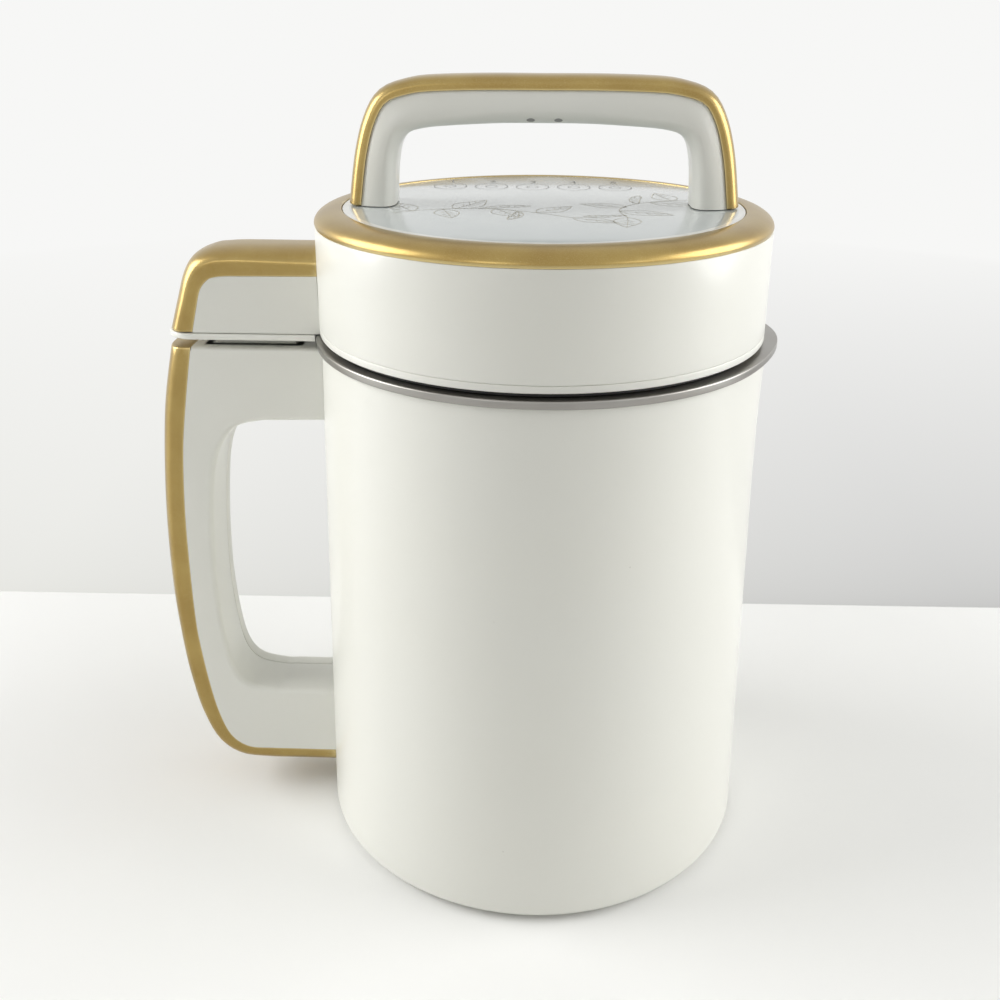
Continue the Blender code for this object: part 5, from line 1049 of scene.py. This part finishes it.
shape = bmesh.new()
for number in range(5):
    key_x = KEY_FIRST_X + number * KEY_PITCH
    ribbon(shape, oval(key_x, KEY_Y, KEY_HALF_X, KEY_HALF_Y), closed=True)
    ribbon(shape, oval(key_x, KEY_Y, KEY_HALF_X * KEY_MARK, KEY_HALF_Y * KEY_MARK, 24), closed=True)
    text = bpy.data.curves.new("label", "FONT")
    text.body = str(number + 1)
    text.size, text.align_x, text.align_y = LABEL_SIZE, "CENTER", "CENTER"
    guide = bpy.data.objects.new("label", text)
    add_to_scene(guide)
    label = evaluated_mesh(guide)
    bpy.data.objects.remove(guide, do_unlink=True)
    label.transform(Matrix.Translation((axis_x + key_x, LABEL_Y, ink_z)))
    shape.from_mesh(label)
printed("panel_keys", shape, "key_ink")

shape = bmesh.new()
sprig(
    shape, [(-50, -20), (-36, -12), (-20, -10), (-4, -16), (10, -26)],
    [(-44, -16, 118, 19), (-30, -11, 62, 21), (-16, -10, -64, 18), (-34, -12, -75, 17),
     (10, -26, -30, 17), (-2, -17, 48, 18)],
    [(-22, -10, 20, 19), (-8, -14, -100, 17)],
)
sprig(
    shape, [(56, 12), (44, 10), (32, 2), (26, -10), (28, -24)],
    [(56, 12, 20, 10), (46, 10, 105, 18), (38, 6, -18, 19), (29, -4, 160, 17),
     (26, -12, -22, 19), (28, -24, -95, 18)],
    [(33, 3, 84, 18), (28, -20, 192, 15)],
)
printed("panel_lines", shape, "ink")

# %% [markdown]
# ## The side block
# Beside the drum sits a block that covers the handle's top and holds the power inlet. It is the
# handle's shape carried on: white flat sides under a gold strip. Its floor is a separate thin
# plate that shows as a pale line between the two golds.

# %% Side block
block_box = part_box("block_trim")
block_base = block_box[0][2]
block_half = block_box[1][1]
BLOCK_CREST = [
    (0.5, 1.0), (0.66, 1.0), (0.76, 1.0), (0.811, 0.997), (0.845, 0.986), (0.874, 0.968),
    (0.918, 0.880), (0.9476, 0.697), (0.972, 0.387), (1.0, 0.0),
]
BLOCK_SEAM = [
    (0.5, 0.698), (0.66, 0.6925), (0.77, 0.689), (0.822, 0.6862), (0.850, 0.672), (0.8697, 0.638),
    (0.892, 0.520), (0.9073, 0.302), (0.9254, 0.0),
]
BLOCK_SIDE = 0.0120
BLOCK_CROWN = 0.0052
BLOCK_WALL = 0.0022
crest = shares_to_run(BLOCK_CREST, block_box)
seam = shares_to_run(BLOCK_SEAM, block_box)
strip = strip_mesh("block_strip", crest, seam, block_half, BLOCK_SIDE, BLOCK_CROWN, (False, True))
drum_cone = shell_cone("drum_cone", drum_radius, drum_base - CONE_OVERRUN, drum_top, CLOSE_FIT)
finished_piece("block_strip", cut_mesh(strip, drum_cone), "gold_paint", "head", "block_trim")

# %% Block walls
inlet_low, inlet_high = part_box("power_inlet")
root = axis_x - (drum_radius_low - DRUM_WALL / 2)


def under_seam(run, offset, wall_x, base):
    """The outline below a seam: the run moved in, back to a wall and down to a base."""
    top = level_end(offset_run(run, offset), -1, base)
    return [(wall_x, top[0][1])] + [p for p in top if p[0] < wall_x] + [(wall_x, base)]


def prism(name, outline, near, far):
    return loft_mesh(name, [(near, outline), (far, outline)])


walls = prism("block_walls", under_seam(seam, CLOSE_FIT, root, block_base), -block_half, block_half)
coarse = shares_to_run(BLOCK_SEAM, block_box, 1)
outline = under_seam(coarse, FIT + BLOCK_WALL, root + BLOCK_WALL, block_base - BLOCK_WALL)
hollow = prism("hollow", outline, BLOCK_WALL - block_half, block_half - BLOCK_WALL)
left, right = inlet_low[0] - FIT, inlet_high[0] + FIT
foot, top = inlet_low[2] - FIT, inlet_high[2] + FIT
outline = [(left, foot), (right, foot), (right, top), (left, top)]
window = prism("window", outline, 0.0, block_half + BLOCK_WALL)
walls = cut_mesh(walls, hollow, window)
finished_piece("block_walls", walls, "white_gloss", "head", "head_shell")

# %% Floor plate of the block
PLATE_MARGIN = 0.0006
PLATE_END_RADIUS = 0.010
PLATE_END_STEPS = 14
PLATE_EDGE = 0.0007
PLATE_EDGE_STEPS = 5
RIM_MARGIN = 0.0005
PLATE_OVERRUN = 0.003
PLATE_THICKNESS = 0.0023
TOOL_OVERRUN = 0.001
plate_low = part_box("head_base")[0][0]
plate_top = block_base - FIT
plate_base = plate_top - PLATE_THICKNESS


def plate_outline(inset):
    """Plan of the plate, drawn in from its edge by an inset."""
    half = block_half + PLATE_MARGIN - inset
    radius = PLATE_END_RADIUS - inset
    near = axis_x - rim_radius + PLATE_OVERRUN
    far = plate_low + PLATE_END_RADIUS
    points = [(near, -half), (near, half)]
    points += arc((far, half - radius), radius, 90, 180, PLATE_END_STEPS)
    return points + arc((far, radius - half), radius, 180, 270, PLATE_END_STEPS)


stack = rounding(plate_base, PLATE_EDGE, PLATE_EDGE, PLATE_EDGE_STEPS, 1)
stack += rounding(plate_top, PLATE_EDGE, PLATE_EDGE, PLATE_EDGE_STEPS, -1)[::-1]
plate = loft_mesh("block_floor", [(z, plate_outline(inset)) for z, inset in stack])
plate.transform(Matrix(((1, 0, 0, 0), (0, 0, 1, 0), (0, 1, 0, 0), (0, 0, 0, 1))))   # lays it flat
plate.flip_normals()
low, high = plate_base - TOOL_OVERRUN, plate_top + TOOL_OVERRUN
plate = cut_mesh(plate, shell_cone("rim_tool", lambda height: rim_radius, low, high, RIM_MARGIN))
finished_piece("block_floor", plate, "white_gloss", "head", "head_base")

# %% [markdown]
# ## The carry handle
# An arch stands across the panel: a white grip with a gold cap over it. Both follow the same
# outer curve, the cap on top and the grip shifted in by the cap's thickness. Two screws sit in
# small holes in the grip's underside. In front of each, at the grip's lower edge, a small oval
# pocket shows, and a dark grey insert sunk a little inside it paints the shade in the pocket.

# %% Curves of the carry handle
cap_low, cap_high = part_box("carry_cap")
ARCH_EASE = 0.00008
carry_base = panel_top + FIT
carry_height = cap_high[2] - carry_base - ARCH_EASE
carry_half_span = half_width((cap_low, cap_high))
CARRY_LEG = 0.0164
CARRY_CLEAR = 0.0270
CARRY_OUTER = [
    (1.0, 0.0), (0.976, 0.26), (0.953, 0.45), (0.917, 0.645), (0.865, 0.81), (0.80, 0.905),
    (0.70, 0.957), (0.58, 0.986), (0.30, 1.0), (0.0, 1.0),
]
CARRY_INNER = [
    (1.0, 0.0), (0.99, 0.35), (0.975, 0.59), (0.947, 0.77), (0.893, 0.88), (0.812, 0.927),
    (0.673, 0.958), (0.3, 0.996), (0.0, 1.0),
]


def arch_run(shares, half_span, height):
    """Half an arch from shares, mirrored to a whole one, from +X over to -X."""
    half = smooth_curve([(x * half_span, carry_base + z * height) for x, z in shares], CURVE_STEPS)
    return [(axis_x + x, z) for x, z in half] + [(axis_x - x, z) for x, z in half[-2::-1]]


def on_panel(run):
    return level_end(level_end(run, 0, carry_base), -1, carry_base)


arch = arch_run(CARRY_OUTER, carry_half_span, carry_height)
inner_arch = arch_run(CARRY_INNER, carry_half_span - CARRY_LEG, CARRY_CLEAR)
print("the arch runs through", len(arch), "points")

# %% Cap of the carry handle
CAP_THICKNESS = 0.0047
CAP_SIDE = 0.0065
CAP_CROWN = 0.0032
GRIP_LEAN = 0.0020
cap_seam = on_panel(offset_run(arch, CAP_THICKNESS))
cap_half = cap_high[1] - GRIP_LEAN
cap = strip_mesh("carry_handle_cap", arch, cap_seam, cap_half, CAP_SIDE, CAP_CROWN, (True, True))
finished_piece("carry_handle_cap", cap, "gold_paint", "head", "carry_cap")

# %% [markdown]
# The grip is swept between its two curves, which are paired like a strip's. It leans in a little
# towards the cap, so half a section first widens on its way down and then rounds under.

# %% Grip of the carry handle
GRIP_SIDE = 0.0065
GRIP_CROWN = 0.0042
LEAN_SHARE = 0.6
LEAN_STEPS = 6
GRIP_STATIONS = 96
grip_top = on_panel(offset_run(arch, CAP_THICKNESS + CLOSE_FIT))
grip_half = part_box("carry_grip")[1][1]
# Half a section: y, share of the way from the cap to the inner curve, metres back from there.
leans = [step / LEAN_STEPS for step in range(LEAN_STEPS + 1)]
half = [(grip_half - GRIP_LEAN * (1 - lean) ** 2, lean * LEAN_SHARE, 0.0) for lean in leans]
edge = rounding(grip_half, GRIP_SIDE, GRIP_CROWN, ROUNDING_STEPS, -1)
half += [(y, 1.0, inset) for y, inset in edge]
section = [(-y, share, back) for y, share, back in half] + half[::-1]
rings = []
for station in range(GRIP_STATIONS + 1):
    top = along_run(grip_top, station / GRIP_STATIONS)
    foot = along_run(inner_arch, station / GRIP_STATIONS)
    down = (foot - top).normalized()
    places = [(y, top.lerp(foot, share) - down * back) for y, share, back in section]
    rings.append([(place.x, y, place.y) for y, place in places])
grip = skin_mesh("carry_handle_grip", rings)
print("grip:", len(grip.polygons), "faces before its holes")

# %% Screw holes and pockets
POCKET_Y = -0.0083
POCKET_HALF_X = 0.00145
POCKET_HALF_Y = 0.0009
POCKET_DEPTH = 0.0030
POCKET_STEPS = HOLE_STEPS = 24
POCKET_SHADE_SUNK = 0.0003
POCKET_SHADE_MARGIN = 0.00005


def add_pocket(shape, x, low_at, high, margin):
    """An upright oval for the small pocket in front of a screw, and for the painted-shade insert in
    it; low_at(y) is its lower end.
    """
    outline = oval(x, POCKET_Y, POCKET_HALF_X - margin, POCKET_HALF_Y - margin, POCKET_STEPS)
    foot = [(px, py, low_at(py)) for px, py in outline]
    skin(shape, [foot, [(px, py, high) for px, py in outline]])


def under_grip(x, y):
    """The height of the grip's surface under its front rounding."""
    middle = min(inner_arch, key=lambda place: abs(place[0] - x))[1]
    across = (-y - (grip_half - GRIP_CROWN)) / GRIP_CROWN
    return middle + GRIP_SIDE * (1 - math.sqrt(1 - max(across, 0.0) ** 2))


holes = []
pocket_shade = bmesh.new()
for number in (1, 2):
    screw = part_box(f"grip_screw_{number}")
    radius, hole_top = half_width(screw) + FIT, screw[1][2] + FIT
    x = middle_of(screw)[0]
    profile = [(0, hole_top), (radius, hole_top), (radius, carry_base), (0, carry_base)]
    holes.append(spun_mesh("screw_hole", profile, (x, 0.0), HOLE_STEPS))
    pocket_top = screw[0][2] + POCKET_DEPTH
    pocket = bmesh.new()
    add_pocket(pocket, x, lambda y: carry_base, pocket_top, 0.0)
    holes.append(mesh_of("screw_pocket", pocket))
    sunk = pocket_top - POCKET_SHADE_MARGIN
    # A dark grey insert sunk just inside each pocket paints the shade in its hollow.
    add_pocket(pocket_shade, x, lambda y: under_grip(x, y) + POCKET_SHADE_SUNK, sunk, POCKET_SHADE_MARGIN)
finished_piece("carry_handle_grip", cut_mesh(grip, *holes), "white_gloss", "head", "carry_grip")
# The grey pocket inserts are painted shade.
finished_piece("carry_handle_plugs", mesh_of("carry_handle_plugs", pocket_shade), "grey_plastic", "head")

# %% [markdown]
# ## The room around it
# The object stands on a sheet of white card whose rear edge shows behind it, and beyond that
# everything is pale and soft. The near part takes light and shadow as card does. The far part
# shows the camera a plain glow with painted shade in it: darker near the card and towards +X,
# and nearly white further off, so that the background stays even whatever the lamps do.

# %% Floor
FLOOR_RADIUS = 6.0
CARD_EDGE_Y = 0.1534
CARD_EDGE_SOFT = 0.0012
CARD_EDGE_SLOPE = 0.013
FAR_DEPTH = 1.1
CARD_FADE = (0.5, 1.3)
SHADE_HALF_WIDTH = 0.28
FADE_POWER = 0.42
SKY_COLOUR = (0.93, 0.93, 0.92)


def seen_by(nodes, *kinds):
    """1 for a ray of any of the kinds, and 0 for others."""
    masks = [nodes.node("LightPath", output=kind) for kind in kinds]
    while len(masks) > 1:
        masks = [nodes.sum("MAXIMUM", *masks[:2])] + masks[2:]
    return masks[0]


finish = Finish("floor", Roughness=0.8)
across, along, _ = finish.split(finish.own_place())
beyond = along - across * CARD_EDGE_SLOPE - CARD_EDGE_Y
outside = finish.clamp(finish.sum("SQRT", across * across + along * along), *CARD_FADE)
fade = finish.sum("MAXIMUM", finish.clamp(beyond, 0, FAR_DEPTH) ** FADE_POWER, outside)
# Near the card the glow is darker, and darker towards +X: painted shade on the backdrop.
side = finish.clamp(across, -SHADE_HALF_WIDTH, SHADE_HALF_WIDTH)
painted_backdrop_shade = finish.mix(side, (0.79, 0.79, 0.75), (0.55, 0.55, 0.54))
tone = finish.clamp(noise(finish, 5, 2), 0.3, 0.7)
finish.output(
    Base_Color=finish.mix(tone, (0.925, 0.925, 0.905), (0.895, 0.895, 0.875)),
    Normal=bumps(finish, noise(finish, 900, 2), 0.00005, 0.3),
)
glow = finish.node("Emission", {"Color": finish.mix(fade, painted_backdrop_shade, SKY_COLOUR), "Strength": 1.0})
seen = seen_by(finish, "Is Camera Ray", "Is Glossy Ray")
far = finish.sum("MAXIMUM", finish.clamp(beyond, 0, CARD_EDGE_SOFT), outside)
both = finish.node("MixShader", {0: far * seen, 1: Wire(finish, finish.shader.outputs[0]), 2: glow})
finish.plug(finish.tree.nodes["Material Output"].inputs["Surface"], both)

shape = bmesh.new()
bmesh.ops.create_circle(shape, cap_ends=True, segments=96, radius=FLOOR_RADIUS)
floor_mesh = bpy.data.meshes.new("floor")
shape.to_mesh(floor_mesh)
shape.free()
floor_mesh.materials.append(finish.material)
floor = bpy.data.objects.new("floor", floor_mesh)
add_to_scene(floor)
floor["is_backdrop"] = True
print("floor radius:", FLOOR_RADIUS, "m")

# %% Camera
LENS, SENSOR = 38.70, 36.0
CAMERA_PLACE = (axis_x, -0.3853, 0.3106)
CAMERA_TURN = (-2.17, 24.62, 0.23)   # degrees to the right, down, and about the line of sight
camera_data = bpy.data.cameras.new("camera")
camera_data.lens, camera_data.sensor_width = LENS, SENSOR
camera_data.clip_start = 0.01
camera = bpy.data.objects.new("camera", camera_data)
add_to_scene(camera)
yaw, pitch, roll = (math.radians(angle) for angle in CAMERA_TURN)
turn = Matrix.Rotation(-yaw, 4, "Z") @ Matrix.Rotation(math.pi / 2 - pitch, 4, "X")
camera.matrix_world = Matrix.Translation(CAMERA_PLACE) @ turn @ Matrix.Rotation(roll, 4, "Z")
bpy.context.scene.camera = camera
print("camera at", [round(value, 3) for value in CAMERA_PLACE])

# %% [markdown]
# ## Light
# The photograph was taken in a bright white surround, with more light from both sides and above
# than from the front. The world gives the even part, brighter from above than from below. Two large
# soft lamps at the sides give the shape, and two small ones in front give the highlights on the
# gold. Their strength keeps a colour about as bright as it is written.

# %% World and lamps
SURROUND_RANGE = (0.0, 0.8, 0.04, 0.38)   # from this height of the sky to that, this strong to that
world = bpy.data.worlds.new("studio")
world.use_nodes = True
bpy.context.scene.world = world
world.node_tree.nodes.clear()
nodes = Nodes(world.node_tree)
height = nodes.split(nodes.node("TexCoord", output="Generated"))[2]
range_names = ("From Min", "From Max", "To Min", "To Max")
strength = nodes.node("MapRange", {"Value": height, **dict(zip(range_names, SURROUND_RANGE))})
surround = nodes.node("Background", {"Color": (1.0, 1.0, 0.98), "Strength": strength})
shown = nodes.node("Background", {"Color": SKY_COLOUR, "Strength": 1.0})
seen = seen_by(nodes, "Is Camera Ray", "Is Glossy Ray", "Is Transmission Ray")
end = world.node_tree.nodes.new("ShaderNodeOutputWorld")
nodes.plug(end.inputs["Surface"], nodes.node("MixShader", {0: seen, 1: surround, 2: shown}))

LAMPS = (
    # name, place, aimed at, size, watts
    ("lamp_left", (-1.0, 0.0, 0.58), (0.0, 0.0, 0.15), 0.9, 11.2),
    ("lamp_right", (1.05, 0.0, 0.53), (0.0, 0.0, 0.15), 0.9, 9.7),
    ("lamp_front_left", (-0.40, -0.95, 0.48), (0.0, 0.0, 0.2), 0.26, 0.66),
    ("lamp_front_right", (0.80, -0.75, 0.50), (0.0, 0.0, 0.15), 0.3, 0.5),
)
for name, place, aim, size, watts in LAMPS:
    light = bpy.data.lights.new(name, "AREA")
    light.shape, light.size, light.energy = "DISK", size, watts
    lamp = bpy.data.objects.new(name, light)
    turn = (Vector(aim) - Vector(place)).to_track_quat("-Z", "Y")
    lamp.matrix_world = Matrix.LocRotScale(Vector(place), turn, None)
    add_to_scene(lamp)
bpy.context.scene.view_settings.view_transform = "Standard"
print("lamps:", len(LAMPS))

# %% Sizes, and the end
low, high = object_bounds()
print("visual", [round(h - l, 4) for l, h in zip(low, high)])
